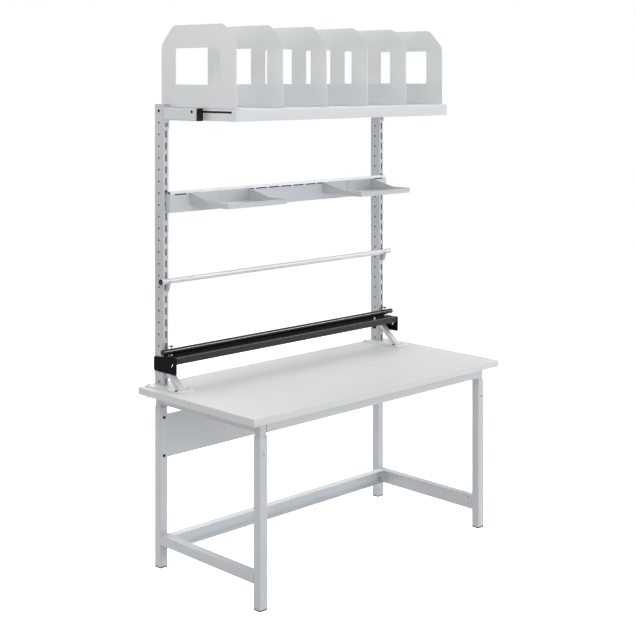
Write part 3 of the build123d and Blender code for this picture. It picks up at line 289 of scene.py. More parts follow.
class Graph:
    """One material's node tree, with short ways to add what the finishes need."""

    def __init__(self, name: str) -> None:
        """Makes a material with a Principled shader.

        Args:
            name: Name of the material.
        """
        self.material = bpy.data.materials.new(name)
        self.material.use_nodes = True
        self.tree = self.material.node_tree
        self.shader = next(n for n in self.tree.nodes if n.type == "BSDF_PRINCIPLED")
        self.place = add_node(self.tree, "ShaderNodeTexCoord").outputs["Object"]

    def pattern(self, pattern: Pattern) -> Socket:
        """Adds a pattern.

        Args:
            pattern: The pattern.

        Returns:
            Its value, from 0 to 1.
        """
        if pattern.cells:
            inputs = {"Vector": self.place, "Scale": pattern.scale}
            cells = add_node(self.tree, "ShaderNodeTexVoronoi", inputs)
            inputs = {"Color": cells.outputs["Color"]}
            return add_node(self.tree, "ShaderNodeSeparateColor", inputs).outputs["Red"]
        inputs = {"Vector": self.place, "Scale": pattern.stretch}
        mapping = add_node(self.tree, "ShaderNodeMapping", inputs)
        inputs = {"Vector": mapping.outputs[0], "Scale": pattern.scale, "Detail": pattern.detail}
        return add_node(self.tree, "ShaderNodeTexNoise", inputs).outputs["Fac"]

    def blend(self, share: Socket, first: Triple | Socket, second: Triple) -> Socket:
        """Mixes two colours.

        Args:
            share: How much of the second colour shows.
            first: Colour at a share of 0, or a socket that gives it.
            second: Colour at a share of 1.

        Returns:
            The mixed colour.
        """
        under = first if isinstance(first, Socket) else (*first, 1)
        inputs = {0: share, COLOUR_A: under, COLOUR_B: (*second, 1)}
        mix = add_node(self.tree, "ShaderNodeMix", inputs, data_type="RGBA")
        return mix.outputs[COLOUR_OUT]

    def maths(self, operation: str, *values: float | Socket) -> Socket:
        """Adds one step of arithmetic, named as Blender does, on sockets and numbers."""
        inputs = dict(enumerate(values))
        return add_node(self.tree, "ShaderNodeMath", inputs, operation=operation).outputs[0]

    def all_of(self, *shares: Socket) -> Socket:
        """Gives 1 where every share is 1."""
        return reduce(lambda one, other: self.maths("MULTIPLY", one, other), shares)

    def mirrored(self) -> tuple[Socket, Socket, Socket]:
        """Gives the place, with X taken as positive at both ends of the bench."""
        x, y, z = add_node(self.tree, "ShaderNodeSeparateXYZ", {0: self.place}).outputs
        return self.maths("ABSOLUTE", x), y, z

    def inside(self, box: Box) -> Socket:
        """Gives 1 inside a box, and in its mirror image at the bench's left end."""
        sides = zip(self.mirrored(), box.middle, box.half)
        return self.all_of(*[self.maths("COMPARE", *side) for side in sides])

    def rims(self, row: Punched) -> Socket:
        """Marks the rims of a row of openings.

        Args:
            row: The row on the right, of which the left end of the bench has a mirror image.

        Returns:
            1 on the rims and 0 elsewhere.
        """
        places = self.mirrored()
        from_first = self.maths("SUBTRACT", places[Z], row.first - row.pitch / 2)
        along = self.maths("MODULO", from_first, row.pitch)
        return self.all_of(
            self.maths("COMPARE", places[row.face_axis], row.face, row.skin),
            self.maths("COMPARE", places[row.across_axis], row.across, row.half_across),
            self.maths("COMPARE", along, row.pitch / 2, row.half_along))


@dataclass(frozen=True)
class Finish:
    """Surface whose tone, gloss and relief each vary by a fine pattern."""

    colour: Triple
    cloud: Pattern
    tones: Range
    smear: Pattern
    gloss: Range
    grain: Pattern
    relief: Range
    sheen: float = 0.5
    metallic: float = 0.0
    patches: tuple[Patch, ...] = ()
    rims: tuple[Punched, ...] = ()
    rim_colour: Triple = ShadeAndSheen.dark

    def build(self, name: str) -> bpy.types.Material:
        """Makes the material.

        Args:
            name: Name of the material.

        Returns:
            The material.
        """
        graph = Graph(name)
        dark, light = (tuple(share * tone for share in self.colour) for tone in self.tones)
        tone = graph.blend(graph.pattern(self.cloud), dark, light)
        # Patches and rims lay painted shade, sheen and highlights over the tone.
        for box, colour in self.patches:
            tone = graph.blend(graph.inside(box), tone, colour)
        for row in self.rims:
            tone = graph.blend(graph.rims(row), tone, self.rim_colour)
        smooth, rough = self.gloss
        gloss = add_node(graph.tree, "ShaderNodeMapRange", {
            "Value": graph.pattern(self.smear), "From Min": NOISE_LOW, "From Max": NOISE_HIGH,
            "To Min": smooth, "To Max": rough})
        strength, depth = self.relief
        bump = add_node(graph.tree, "ShaderNodeBump", {
            "Height": graph.pattern(self.grain), "Strength": strength, "Distance": depth})
        feed(graph.shader, {
            "Base Color": tone, "Roughness": gloss.outputs["Result"],
            "Normal": bump.outputs["Normal"], "Metallic": self.metallic,
            "Specular IOR Level": self.sheen})
        return graph.material


@dataclass(frozen=True)
class PowderCoat(Finish):
    """Baked powder paint on steel: cloudy tone, satin gloss and fine orange peel."""

    cloud: Pattern = Pattern(5.0, 4.0)
    tones: Range = (0.982, 1.018)
    smear: Pattern = Pattern(35.0, 3.0)
    gloss: Range = (0.29, 0.39)
    grain: Pattern = Pattern(420.0)
    relief: Range = (0.25, 0.00012)
    sheen: float = 0.8


@dataclass(frozen=True)
class Laminate(Finish):
    """Pressed laminate on the board: faint flecks and a fine pearl texture."""

    cloud: Pattern = Pattern(260.0, cells=True)
    tones: Range = (0.988, 1.012)
    smear: Pattern = Pattern(9.0, 3.0)
    gloss: Range = (0.46, 0.55)
    grain: Pattern = Pattern(900.0, 3.0)
    relief: Range = (0.3, 0.00008)


@dataclass(frozen=True)
class Moulded(Finish):
    """Moulded plastic with a fine spark-eroded grain."""

    cloud: Pattern = Pattern(60.0, 3.0)
    tones: Range = (1.0, 1.12)
    smear: Pattern = Pattern(90.0)
    gloss: Range = (0.43, 0.54)
    grain: Pattern = Pattern(1100.0)
    relief: Range = (0.35, 0.00006)


@dataclass(frozen=True)
class Extruded(Finish):
    """Anodised extrusion with die lines along the bench."""

    cloud: Pattern = Pattern(900.0, stretch=(0.01, 1, 1))
    tones: Range = (1.0, 1.35)
    smear: Pattern = cloud
    gloss: Range = (0.28, 0.42)
    grain: Pattern = cloud
    relief: Range = (0.2, 0.00003)


@dataclass(frozen=True)
class BareMetal(Finish):
    """Plated or ground metal, whose grain may be drawn out."""

    cloud: Pattern = Pattern(80.0)
    tones: Range = (0.92, 1.0)
    smear: Pattern = Pattern(500.0, 3.0)
    gloss: Range = (0.22, 0.4)
    grain: Pattern = smear
    relief: Range = (0.15, 0.00002)
    metallic: float = 1.0


COOL = -0.042
SHADE_AND_SHEEN = ShadeAndSheen()
GROUND = Pattern(500.0, 3.0, (0.02, 1, 1))
FINISHES = {
    "painted_light": PowderCoat(grey(0.618, COOL)),
    # The painted_* copies below are the same grey paint, made lighter (_lit) or darker (_shaded)
    # per part to stand in for the light and shade on it.
    "painted_shelf_lit": PowderCoat(grey(0.685, COOL)),
    "painted_divider_lit": PowderCoat((0.678, 0.702, 0.706)),
    # Painted shade inside the uprights and on the rims of their slots and holes.
    "painted_upright_shaded": PowderCoat(
        grey(0.563, COOL), patches=SHADE_AND_SHEEN.in_upright(), rims=SHADE_AND_SHEEN.upright_rims()),
    # Painted shade inside the arm's tube.
    "painted_arm_lit": PowderCoat(grey(0.650, COOL), patches=SHADE_AND_SHEEN.in_arm()),
    # Painted shade behind the rail's slots and under its lip.
    "painted_rail_lit": PowderCoat(grey(0.66, COOL), patches=SHADE_AND_SHEEN.in_rail(), sheen=0.25),
    "painted_low_lit": PowderCoat(grey(0.73, COOL)),
    "painted_foot_lit": PowderCoat(grey(0.74, -0.03)),
    "painted_tray_shaded": PowderCoat(grey(0.590, -0.035)),
    "laminate": Laminate(grey(0.738)),
    "edge_band": Moulded(grey(0.715, -0.004), grain=Pattern(600.0)),
    "black_metal": PowderCoat(grey(0.003), gloss=(0.45, 0.55), grain=Pattern(700.0), sheen=0.03),
    "black_tube": PowderCoat(
        grey(0.004), gloss=(0.15, 0.19), grain=Pattern(700.0), relief=(0.03, 0.00012), sheen=0.3),
    # Painted sheen on the track's front face and a painted highlight on its upper edge.
    "black_anodised": Extruded(grey(0.006), sheen=0.1, patches=SHADE_AND_SHEEN.on_track()),
    "black_plastic": Moulded(grey(0.008, -0.02), sheen=0.2),
    "grey_plastic": Moulded(grey(0.50, -0.02)),
    "white_tube": PowderCoat(grey(0.71, -0.02), gloss=(0.31, 0.41), sheen=0.5),
    "zinc": BareMetal(grey(0.42, 0.01)),
    "black_screw": PowderCoat(
        grey(0.010), gloss=(0.4, 0.5), grain=Pattern(1500.0), relief=(0.25, 0.00003), sheen=0.15),
    "blade_steel": BareMetal(grey(0.66), gloss=(0.14, 0.32), smear=GROUND, grain=GROUND),
}


@cache
def material_of(finish: str) -> bpy.types.Material:
    """Gives the material of one finish, built on first use."""
    return FINISHES[finish].build(finish)


def coat(piece: bpy.types.Object, *finishes: str) -> None:
    """Puts finishes on an object.

    Args:
        piece: The object.
        finishes: Their names, in the order of its faces' material numbers.
    """
    if piece.data.materials:
        piece.data.materials.clear()
    for finish in finishes:
        piece.data.materials.append(material_of(finish))
    log.info("%s has finish %s", piece.name, ", ".join(finishes))


def each(name: str, ends: Sequence[str] = SIDES) -> tuple[str, ...]:
    """Gives the names of a set of nodes."""
    return tuple(f"{name}_{end}" for end in ends)


def slot_of_node(node: str) -> str:
    """Gives the record's material slot of a CAD node."""
    parts = frame["record"]["subparts"]
    return next(part["material_slot"] for part in parts if part["node"] == node)


def solids_of(node: str) -> list[Box]:
    """Finds the separate solids of a CAD node.

    Args:
        node: Name of the node.

    Returns:
        One box per solid, from left to right, front to back and low to high.
    """
    mesh = bmesh.new()
    mesh.from_mesh(frame["nodes"][node].data)
    bmesh.ops.remove_doubles(mesh, verts=mesh.verts, dist=MERGE_GAP)
    waiting = set(mesh.verts)
    found = []
    while waiting:
        front = [waiting.pop()]
        island = list(front)
        while front:
            vert = front.pop()
            linked = {edge.other_vert(vert) for edge in vert.link_edges} & waiting
            waiting -= linked
            front.extend(linked)
            island.extend(linked)
        values = [[vert.co[axis] for vert in island] for axis in (X, Y, Z)]
        found.append(Box.spanning(*[(min(along), max(along)) for along in values]))
    mesh.free()
    return sorted(found, key=lambda box: tuple(round(value, 4) for value in box.middle))


def placed(name: str, data: bpy.types.ID) -> bpy.types.Object:
    """Makes an object in the scene.

    Args:
        name: Name of the object.
        data: Its mesh, lamp or camera.

    Returns:
        The object.
    """
    made = bpy.data.objects.new(name, data)
    bpy.context.scene.collection.objects.link(made)
    return made


def object_of(mesh: BMesh, name: str) -> bpy.types.Object:
    """Turns a bmesh into an object in the scene.

    Args:
        mesh: The bmesh, which is freed.
        name: Name of the object.

    Returns:
        The object.
    """
    data = bpy.data.meshes.new(name)
    mesh.to_mesh(data)
    mesh.free()
    return placed(name, data)


def facing(place: Vector, way: Vector) -> Matrix:
    """Gives the matrix that puts a part there, with its Z axis along a direction."""
    return Matrix.Translation(place) @ way.to_track_quat("Z", "Y").to_matrix().to_4x4()


@dataclass
class Piece:
    """A modelled piece: one bmesh that becomes an object at the origin and moves with a body."""

    name: str
    body: str
    slot: str

    def __post_init__(self) -> None:
        """Starts the empty mesh, whose first finish is that of the record's slot."""
        self.finishes = [self.slot]
        self.mesh = bmesh.new()

    def absorb(self, part: BMesh, place: Matrix, finish: str = "", inner: str = "") -> None:
        """Moves a finished part into place and adds it.

        Args:
            part: The part in its own coordinates; it is freed.
            place: Matrix from those coordinates to the frame.
            finish: Name of its finish where it isn't the piece's first.
            inner: Name of the finish of its tagged faces, such as a socket's.
        """
        for name in (finish, inner):
            if name and name not in self.finishes:
                self.finishes.append(name)
        outer = self.finishes.index(finish) if finish else 0
        within = self.finishes.index(inner) if inner else outer
        for face in part.faces:
            face.material_index = within if face.tag else outer
        bmesh.ops.transform(part, matrix=place, verts=part.verts)
        bmesh.ops.recalc_face_normals(part, faces=part.faces)
        held = bpy.data.meshes.new("held")
        part.to_mesh(held)
        part.free()
        self.mesh.from_mesh(held)
        bpy.data.meshes.remove(held)

    def finish(self, replaces: Sequence[str] = (), smooth_angle: float = 35.0) -> None:
        """Turns the piece into an object that rides on its body.

        Args:
            replaces: CAD nodes that it stands for.
            smooth_angle: Edges sharper than this many degrees stay sharp.
        """
        limit = math.radians(smooth_angle)
        for edge in self.mesh.edges:
            edge.smooth = len(edge.link_faces) == 2 and edge.calc_face_angle(math.pi) < limit
        for face in self.mesh.faces:
            face.smooth = True
        made = object_of(self.mesh, self.name)
        coat(made, *self.finishes)
        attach(made, self.body)
        if replaces:
            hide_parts(*replaces)
        log.info("%s rides on %s with %d faces", self.name, self.body, len(made.data.polygons))


def turned(profile: Outline, steps: int = 24) -> BMesh:
    """Turns a profile about the Z axis.

    Args:
        profile: Points as radius and height, from the bottom to the top.
        steps: Faces around the axis.

    Returns:
        The turned shell, open where the profile doesn't end on the axis.
    """
    mesh = bmesh.new()
    verts = [mesh.verts.new((radius, 0, height)) for radius, height in profile]
    edges = [mesh.edges.new(pair) for pair in zip(verts, verts[1:])]
    bmesh.ops.spin(
        mesh, geom=verts + edges, axis=(0, 0, 1), cent=(0, 0, 0), angle=math.tau, steps=steps,
        use_merge=True)
    bmesh.ops.remove_doubles(mesh, verts=mesh.verts, dist=MERGE_GAP)
    return mesh


def soften(mesh: BMesh, edges: Sequence[BMEdge], width: float, segments: int) -> None:
    """Bevels edges, flat with one segment and round with more.

    Args:
        mesh: The bmesh.
        edges: Its edges to bevel.
        width: Width of the bevel.
        segments: Number of its segments.
    """
    bmesh.ops.bevel(
        mesh, geom=edges, offset=width, segments=segments, profile=0.5, affect="EDGES",
        material=-1)


def block(box: Box) -> BMesh:
    """Makes a plain block that fills a box.

    Args:
        box: The box.

    Returns:
        The block.
    """
    mesh = bmesh.new()
    place = Matrix.Translation(box.middle) @ Matrix.Diagonal((*box.size, 1))
    bmesh.ops.create_cube(mesh, size=1, matrix=place)
    return mesh


def only(items: Sequence, kind: type) -> list:
    """Gives the items of one kind."""
    return [item for item in items if isinstance(item, kind)]


def sink_socket(mesh: BMesh, across: float, top: float, depth: float) -> None:
    """Closes the open top ring of a turned head with a hexagon socket.

    Args:
        mesh: The turned head, open at the top.
        across: Width of the socket across its flats.
        top: Height of the head's top face.
        depth: Depth of the socket.
    """
    sixth = math.tau / 6
    rim = [edge for edge in mesh.edges if edge.is_boundary]
    ring = bmesh.ops.extrude_edge_only(mesh, edges=rim)["geom"]
    for vert in only(ring, BMVert):
        angle = math.atan2(vert.co.y, vert.co.x)
        from_flat = (angle % sixth) - sixth / 2
        radius = across / 2 / math.cos(from_flat)
        vert.co = (radius * math.cos(angle), radius * math.sin(angle), top)
    walls = [edge for edge in only(ring, BMEdge) if edge.is_boundary]
    floor = bmesh.ops.extrude_edge_only(mesh, edges=walls)["geom"]
    for vert in only(floor, BMVert):
        vert.co.z = top - depth
    last = [edge for edge in only(floor, BMEdge) if edge.is_boundary]
    bottom = bmesh.ops.contextual_create(mesh, geom=last)["faces"]
    for face in bottom + only(floor, BMFace):
        face.tag = True


def hex_nut(radius: float, low: float, high: float, chamfer: float = 0.0005) -> BMesh:
    """Makes a nut about the Z axis.

    Args:
        radius: Radius over the corners.
        low: Height of its lower face.
        high: Height of its upper face.
        chamfer: Width of the bevel along its faces' edges.

    Returns:
        The closed nut.
    """
    mesh = bmesh.new()
    bmesh.ops.create_cone(
        mesh, cap_ends=True, segments=6, radius1=radius, radius2=radius, depth=high - low,
        matrix=Matrix.Translation((0, 0, (low + high) / 2)))
    soften(mesh, list(mesh.edges), chamfer, segments=1)
    return mesh


class Head(Enum):
    """Forms of a screw's head, each with its socket's rim as a share of the head's radius."""

    BUTTON = 0.46
    CHEESE = 0.62


class End(Enum):
    """End of a screw on which its head is, along the screw's axis."""

    LOW = -1
    HIGH = 1
    INNER = 0
    OUTER = 2

    def sign(self, middle: float) -> int:
        """Gives the head's direction, for a screw whose middle is there along X."""
        outward = 1 if middle > 0 else -1
        return {End.INNER: -outward, End.OUTER: outward}.get(self, self.value)


@dataclass(frozen=True)
class Screw:
    """One kind of screw, sized as its CAD solid in millimetres."""

    axis: int
    end: End
    head: Head
    head_radius: float
    head_height: float
    shank_radius: float
    nut_radius: float = 0.0
    nut_height: float = 0.0
    finish: str | Callable[[Box], str] = ""
    nut_finish: str = ""
    # Finish of the socket and washer: on zinc screws the black socket is painted shade in its
    # recess, and the black washer partly stands in for the shade round the head.
    dark_finish: str = "black_screw"
    tip: float = 0.0
    washer: float = 0.0
    tip_width: float = 0.8
    tip_taper: float = 0.25
    dome_foot: float = 0.25
    dome_steps: tuple[float, ...] = (0, 0.35, 0.7, 1.0)
    cheese_edge: float = 0.15
    socket_width: float = 0.8
    socket_depth: float = 0.6
    washer_wall: float = 0.15
    washer_top: float = 0.25
    washer_flat: float = 0.97
    washer_steps: int = 32

    def profile(self, length: float) -> Outline:
        """Outline of the screw, its head's seat at zero and its tip below.

        Args:
            length: Length under the head, in metres.

        Returns:
            Radius and height of each point, from the tip to the head's rim.
        """
        head, shank, tall = (
            size * MILLIMETRE for size in (self.head_radius, self.shank_radius, self.head_height))
        low = [(0, -length), (shank * self.tip_width, -length),
               (shank, -length + shank * self.tip_taper), (shank, 0), (head, 0)]
        if self.head is Head.BUTTON:
            foot, rise = self.dome_foot, 1 - self.dome_foot
            crown = [(head * math.cos(step), tall * (foot + rise * math.sin(step)))
                     for step in self.dome_steps]
        else:
            edge = min(tall, head) * self.cheese_edge
            crown = [(head, tall - edge), (head - edge, tall)]
        return low + crown + [(head * self.head.value, tall)]

    def build(self, box: Box) -> list[Part]:
        """Makes the screw, its washer and its nut in one solid's box.

        Args:
            box: Box of the CAD solid that it stands for.

        Returns:
            Each part with its matrix, its finish and that of its socket.
        """
        tall = self.head_height * MILLIMETRE
        sign = self.end.sign(box.middle.x)
        length = box.size[self.axis] - tall
        seat = box.middle.copy()
        seat[self.axis] = box.high[self.axis] - tall if sign > 0 else box.low[self.axis] + tall
        way = Vector((0, 0, 0))
        way[self.axis] = sign
        place = facing(seat, way)
        body = turned(self.profile(length + self.tip))
        across = self.head_radius * MILLIMETRE * self.socket_width
        sink_socket(body, across, tall, tall * self.socket_depth)
        finish = self.finish(box) if callable(self.finish) else self.finish
        parts = [(body, finish)]
        if self.washer:
            rim, top = self.washer * MILLIMETRE, tall * self.washer_top
            outline = [(0, 0), (rim, 0), (rim, tall * self.washer_wall),
                       (rim * self.washer_flat, top), (0, top)]
            parts.append((turned(outline, self.washer_steps), self.dark_finish))
        if self.nut_height:
            top = self.nut_height * MILLIMETRE - length
            nut = hex_nut(self.nut_radius * MILLIMETRE, -length, top)
            parts.append((nut, self.nut_finish))
        return [(part, place, own, self.dark_finish) for part, own in parts]

    def misfit(self, box: Box) -> float:
        """Says how far the widest part is from a solid's cross-section.

        Args:
            box: Box of the solid.

        Returns:
            The sum of both differences, in millimetres.
        """
        head = 2 * max(self.head_radius, self.washer)
        widest = max(head, 2 * self.nut_radius)
        across = [box.size[axis] / MILLIMETRE for axis in (X, Y, Z) if axis != self.axis]
        return abs(max(across) - widest) + abs(min(across) - head)


@dataclass(frozen=True)
class Weld:
    """Painted-over weld bead with ripples along a straight seam."""

    radius: float = 0.002
    ripple: float = 0.0032
    swell: float = 0.14
    samples: int = 4
    end_share: float = 0.55
    end_rate: float = 4.0
    corner: float = 0.004
    steps: int = 10

    def bead(self, start: Vector, end: Vector) -> tuple[BMesh, Matrix]:
        """Makes one bead, half of which sinks into the seam.

        Args:
            start: One end of the seam.
            end: Its other end.

        Returns:
            The bead about the Z axis, and the matrix that lays it on the seam.
        """
        run = end - start
        ripples = max(2, round(run.length / self.ripple))
        count = ripples * self.samples
        profile = [(0.0, 0.0)]
        for step in range(count + 1):
            along = step / count
            bulge = 1 + self.swell * math.sin(math.tau * along * ripples)
            taper = min(1.0, self.end_share + self.end_rate * min(along, 1 - along))
            height = self.radius / 2 + (run.length - self.radius) * along
            profile.append((self.radius * bulge * taper, height))
        profile.append((0.0, run.length))
        return turned(profile, self.steps), facing(start, run)

    def ring(self, box: Box) -> list[tuple[BMesh, Matrix]]:
        """Makes a bead along each side of a flat rectangle, up to near its corners.

        Args:
            box: The rectangle, a box with no size along one axis.

        Returns:
            Each bead with the matrix that lays it on its seam.
        """
        axes = [axis for axis in (X, Y, Z) if box.size[axis]]
        beads = []
        for run, across in (axes, axes[::-1]):
            for side in (box.low, box.high):
                start, end = box.low.copy(), box.high.copy()
                start[across] = end[across] = side[across]
                start[run] += self.corner
                end[run] -= self.corner
                beads.append(self.bead(start, end))
        return beads


@dataclass(frozen=True)
class TubeCap:
    """Cap pressed into the end of a round tube, with a shallow dimple."""

    thickness: float = 0.004
    wall: float = 0.0015
    soft: float = 0.0012
    soft_share: float = 0.3
    dimple_rim: float = 0.55
    dimple: float = 0.5
    steps: int = 40

    def build(self, box: Box) -> list[Part]:
        """Makes the cap in one solid's box.

        Args:
            box: Box of the CAD solid that it stands for.

        Returns:
            The cap with the matrix that puts it on its tube.
        """
        radius, top, soft = box.half.z, self.thickness, self.soft
        plug = box.size.x - top
        barb = radius - self.wall
        corner = soft * self.soft_share
        floor = top - soft * self.dimple
        profile = [(0, -plug), (barb - soft, -plug), (barb, -plug + soft), (barb, 0), (radius, 0),
                   (radius, top - soft), (radius - corner, top - corner), (radius - soft, top),
                   (radius * self.dimple_rim, top), (radius * self.dimple, floor), (0, floor)]
        side = math.copysign(1, box.middle.x)
        x = box.high.x - top if side > 0 else box.low.x + top
        place = facing(Vector((x, box.middle.y, box.middle.z)), Vector((side, 0, 0)))
        return [(turned(profile, self.steps), place)]


class Assembly:
    """What the sub-assemblies share: finishes for CAD nodes, and ways to model small parts."""

    @staticmethod
    def dress(nodes: Sequence[str], finish: str = "") -> None:
        """Puts a finish on CAD nodes, that of each one's slot where none is named."""
        for node in nodes:
            coat(frame["nodes"][node], finish or slot_of_node(node))

    @staticmethod
    def model(node: str, body: str, make: Callable[[Box], list[Part]]) -> None:
        """Models each solid of a CAD node.

        Args:
            node: The CAD node.
            body: CAD body that it rides on.
            make: Gives the parts that stand for one solid in its box.
        """
        piece = Piece(f"{node}_modelled", body, slot_of_node(node))
        for box in solids_of(node):
            for part in make(box):
                piece.absorb(*part)
        piece.finish(replaces=[node])

    @classmethod
    def screws(cls, node: str, body: str, *kinds: Screw) -> None:
        """Models every screw of a CAD node, each as the kind that fits its box."""
        cls.model(node, body, lambda box: min(kinds, key=lambda kind: kind.misfit(box)).build(box))

    @staticmethod
    def weld(name: str, seam: Weld, seats: Sequence[Box]) -> None:
        """Lays a bead round each seat of a tube.

        Args:
            name: Name of the piece.
            seam: The kind of bead.
            seats: Flat rectangles where the tubes meet their plates.
        """
        piece = Piece(name, "top_frame", "painted_light")
        for seat in seats:
            for bead in seam.ring(seat):
                piece.absorb(*bead)
        piece.finish()


@dataclass
class LowerFrame(Assembly):
    """Legs, rails and panel that stand on the floor."""

    painted: tuple[str, ...] = (
        *each("outer_leg", CORNERS), *each("lower_side_rail"), "modesty_panel")
    clamp: Screw = Screw(
        Y, End.LOW, Head.CHEESE, 6.0, 3.5, 4.0,
        finish=lambda box: "zinc" if box.middle.y < 0 else "black_screw")
    rail_bolt: Screw = Screw(X, End.INNER, Head.BUTTON, 6.0, 3.0, 3.0, 5.5, 5.0)
    panel_screw: Screw = Screw(X, End.INNER, Head.BUTTON, 5.0, 2.5, 2.5)

    def build(self) -> None:
        """Dresses the frame and models its screws."""
        self.dress(self.painted)
        self.dress(["lower_rear_rail"], "painted_low_lit")
        self.dress(["leg_feet"])
        self.screws("leg_clamp_screws", "lower_frame", self.clamp)
        self.screws("lower_rail_bolts", "lower_frame", self.rail_bolt)
        self.screws("panel_screws", "lower_frame", self.panel_screw)


@dataclass
class Worktop(Assembly):
    """Board with its edging, the rails and inner legs under it, and its screws."""

    dressed: tuple[str, ...] = (
        *each("inner_leg", CORNERS), *each("upper_side_rail"), "front_rail", "upper_rear_rail",
        "worktop")
    band: float = 0.002
    corner: float = 0.003
    round_over: float = 0.0008
    board_area: float = 0.5
    screw: Screw = Screw(Z, End.LOW, Head.BUTTON, 5.0, 2.5, 2.2)

    @staticmethod
    def flats(mesh: BMesh) -> list[BMFace]:
        """Gives the faces that look straight up or down."""
        return [face for face in mesh.faces if abs(face.normal.z) > FLAT]

    def edge_band(self) -> None:
        """Models the edging: four rounded corners and softened upper and lower edges."""
        piece = Piece("worktop_edging", "top_frame", "edge_band")
        band = block(box_of("worktop_edge_band"))
        upright = [edge for edge in band.edges
                   if abs(edge.verts[0].co.z - edge.verts[1].co.z) > self.band]
        soften(band, upright, self.corner, segments=6)
        rims = [edge for face in self.flats(band) for edge in face.edges]
        soften(band, rims, self.round_over, segments=3)
        bmesh.ops.inset_region(
            band, faces=self.flats(band), thickness=self.band - self.round_over,
            use_even_offset=True)
        inner = [face for face in self.flats(band) if face.calc_area() > self.board_area]
        bmesh.ops.delete(band, geom=inner, context="FACES")
        bmesh.ops.bridge_loops(band, edges=[edge for edge in band.edges if edge.is_boundary])
        piece.absorb(band, Matrix.Identity(4))
        piece.finish(replaces=["worktop_edge_band"])

    def build(self) -> None:
        """Dresses the board and its rails, and models the edging and the screws under it."""
        self.dress(self.dressed)
        self.edge_band()
        self.screws("worktop_screws", "top_frame", self.screw)


def foot_bolt_finish(box: Box, front: float = 0.25, upright_x: float = 0.6635) -> str:
    """Gives a foot bolt's finish, black for the left one of the two before each upright, partly as
    painted shade under the strut.
    """
    left = box.middle.x < math.copysign(upright_x, box.middle.x)
    return "black_screw" if left and box.middle.y < front else "zinc"


@dataclass
class Uprights(Assembly):
    """Uprights on their feet, with caps, bolts and welds."""

    tubes: tuple[str, ...] = each("upright")
    feet: tuple[str, ...] = each("upright_foot")
    foot_bolt: Screw = Screw(
        Z, End.HIGH, Head.BUTTON, 7.0, 4.0, 4.0, 7.0, 6.5, finish=foot_bolt_finish,
        nut_finish="black_screw", tip=0.014)
    # Its black washer partly stands in for the shade round the zinc head.
    arm_bolt: Screw = Screw(
        Y, End.LOW, Head.BUTTON, 5.5, 4.0, 2.3, 6.0, 4.0, finish="zinc", washer=8.0)
    tray_lock: Screw = Screw(Y, End.LOW, Head.BUTTON, 5.0, 3.0, 2.3, 5.0, 3.5)
    seam: Weld = Weld()

    def build(self) -> None:
        """Dresses the uprights and models their screws and welds."""
        self.dress(self.tubes, "painted_upright_shaded")
        self.dress(self.feet, "painted_foot_lit")
        self.dress(["upright_caps"])
        self.screws("upright_foot_bolts", "top_frame", self.foot_bolt)
        self.screws("slot_bolts", "top_frame", self.arm_bolt, self.tray_lock)
        self.weld("upright_welds", self.seam, [
            Box.spanning((low.x, high.x), (low.y, high.y), (low.z, low.z))
            for low, high in map(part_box, self.tubes)])


@dataclass
class ShelfUnit(Assembly):
    """Shelf with its dividers, the arms that carry it and their bolts."""

    arms: tuple[str, ...] = each("shelf_arm")
    dividers: tuple[str, ...] = each("divider", "123456")
    arm_height: float = ShadeAndSheen.arm_height
    plate: float = 0.003
    sheet: float = 0.0015
    guide_gap: float = 0.006
    guide_wall: float = 0.0015
    guide_depth: float = 0.009
    guide_height: float = 0.019
    lengthwise: float = 1.5
    bolt: Screw = Screw(X, End.OUTER, Head.BUTTON, 6.5, 3.5, 3.3, 7.0, 5.0, finish="black_screw")
    seam: Weld = Weld(radius=0.0018, corner=0.006)

    def arm_welds(self) -> None:
        """Lays a bead on both sides, above and under each arm, where it meets its plate."""
        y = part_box("upright_left")[0].y - self.plate
        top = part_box("shelf")[1].z
        self.weld("arm_welds", self.seam, [
            Box.spanning((low.x, high.x), (y, y), (top - self.arm_height, top))
            for low, high in map(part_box, self.arms)])

    def slot_shade_guides(self) -> None:
        """Models black channels inside the shelf that cover the slots and guide the bolts' nuts;
        their black stands in for the shade inside the shelf.
        """
        piece = Piece("slot_shade_guides", "shelf", "black_plastic")
        low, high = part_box("shelf")
        centre = solids_of("shelf_bolts")[0].middle.z
        inner = high.x - self.sheet
        half, long = self.guide_height / 2, self.guide_height * self.lengthwise
        for side in (-1, 1):
            mesh = block(Box.spanning(
                sorted((side * inner, side * (inner - self.guide_depth))),
                (low.y + self.guide_gap, high.y - self.guide_gap), (centre - half, centre + half)))
            open_side = [face for face in mesh.faces if face.normal.x * side > FLAT]
            bmesh.ops.delete(mesh, geom=open_side, context="FACES")
            backs = [edge for edge in mesh.edges
                     if not edge.is_boundary and edge.calc_length() > long]
            soften(mesh, backs, self.guide_wall, segments=3)
            bmesh.ops.recalc_face_normals(mesh, faces=mesh.faces)
            bmesh.ops.solidify(mesh, geom=list(mesh.faces), thickness=self.guide_wall)
            piece.absorb(mesh, Matrix.Identity(4))
        piece.finish()

    def build(self) -> None:
        """Dresses the shelf, arms and dividers, and models the bolts, guides and welds."""
        self.dress(self.arms, "painted_arm_lit")
        self.dress(self.dividers, "painted_divider_lit")
        self.dress(["shelf"], "painted_shelf_lit")
        self.dress(["arm_caps"])
        self.screws("shelf_bolts", "top_frame", self.bolt)
        self.slot_shade_guides()
        self.arm_welds()


@dataclass
class TrayUnit(Assembly):
    """Slotted rail on its brackets, and the two trays that hang in it."""

    trays: tuple[str, ...] = each("tray")

    def build(self) -> None:
        """Dresses the rail and the trays."""
        self.dress(self.trays, "painted_tray_shaded")
        self.dress(["tray_rail"], "painted_rail_lit")
        self.dress(["tray_rail_brackets"])


@dataclass
class RollRod(Assembly):
    """Rod that carries a roll of film or paper, on its two holders."""

    cap: TubeCap = TubeCap()

    def build(self) -> None:
        """Dresses the rod and its holders, and models its caps."""
        self.dress(["roll_rod", "rod_holders"])
        self.model("roll_rod_caps", "roll_rod_body", self.cap.build)


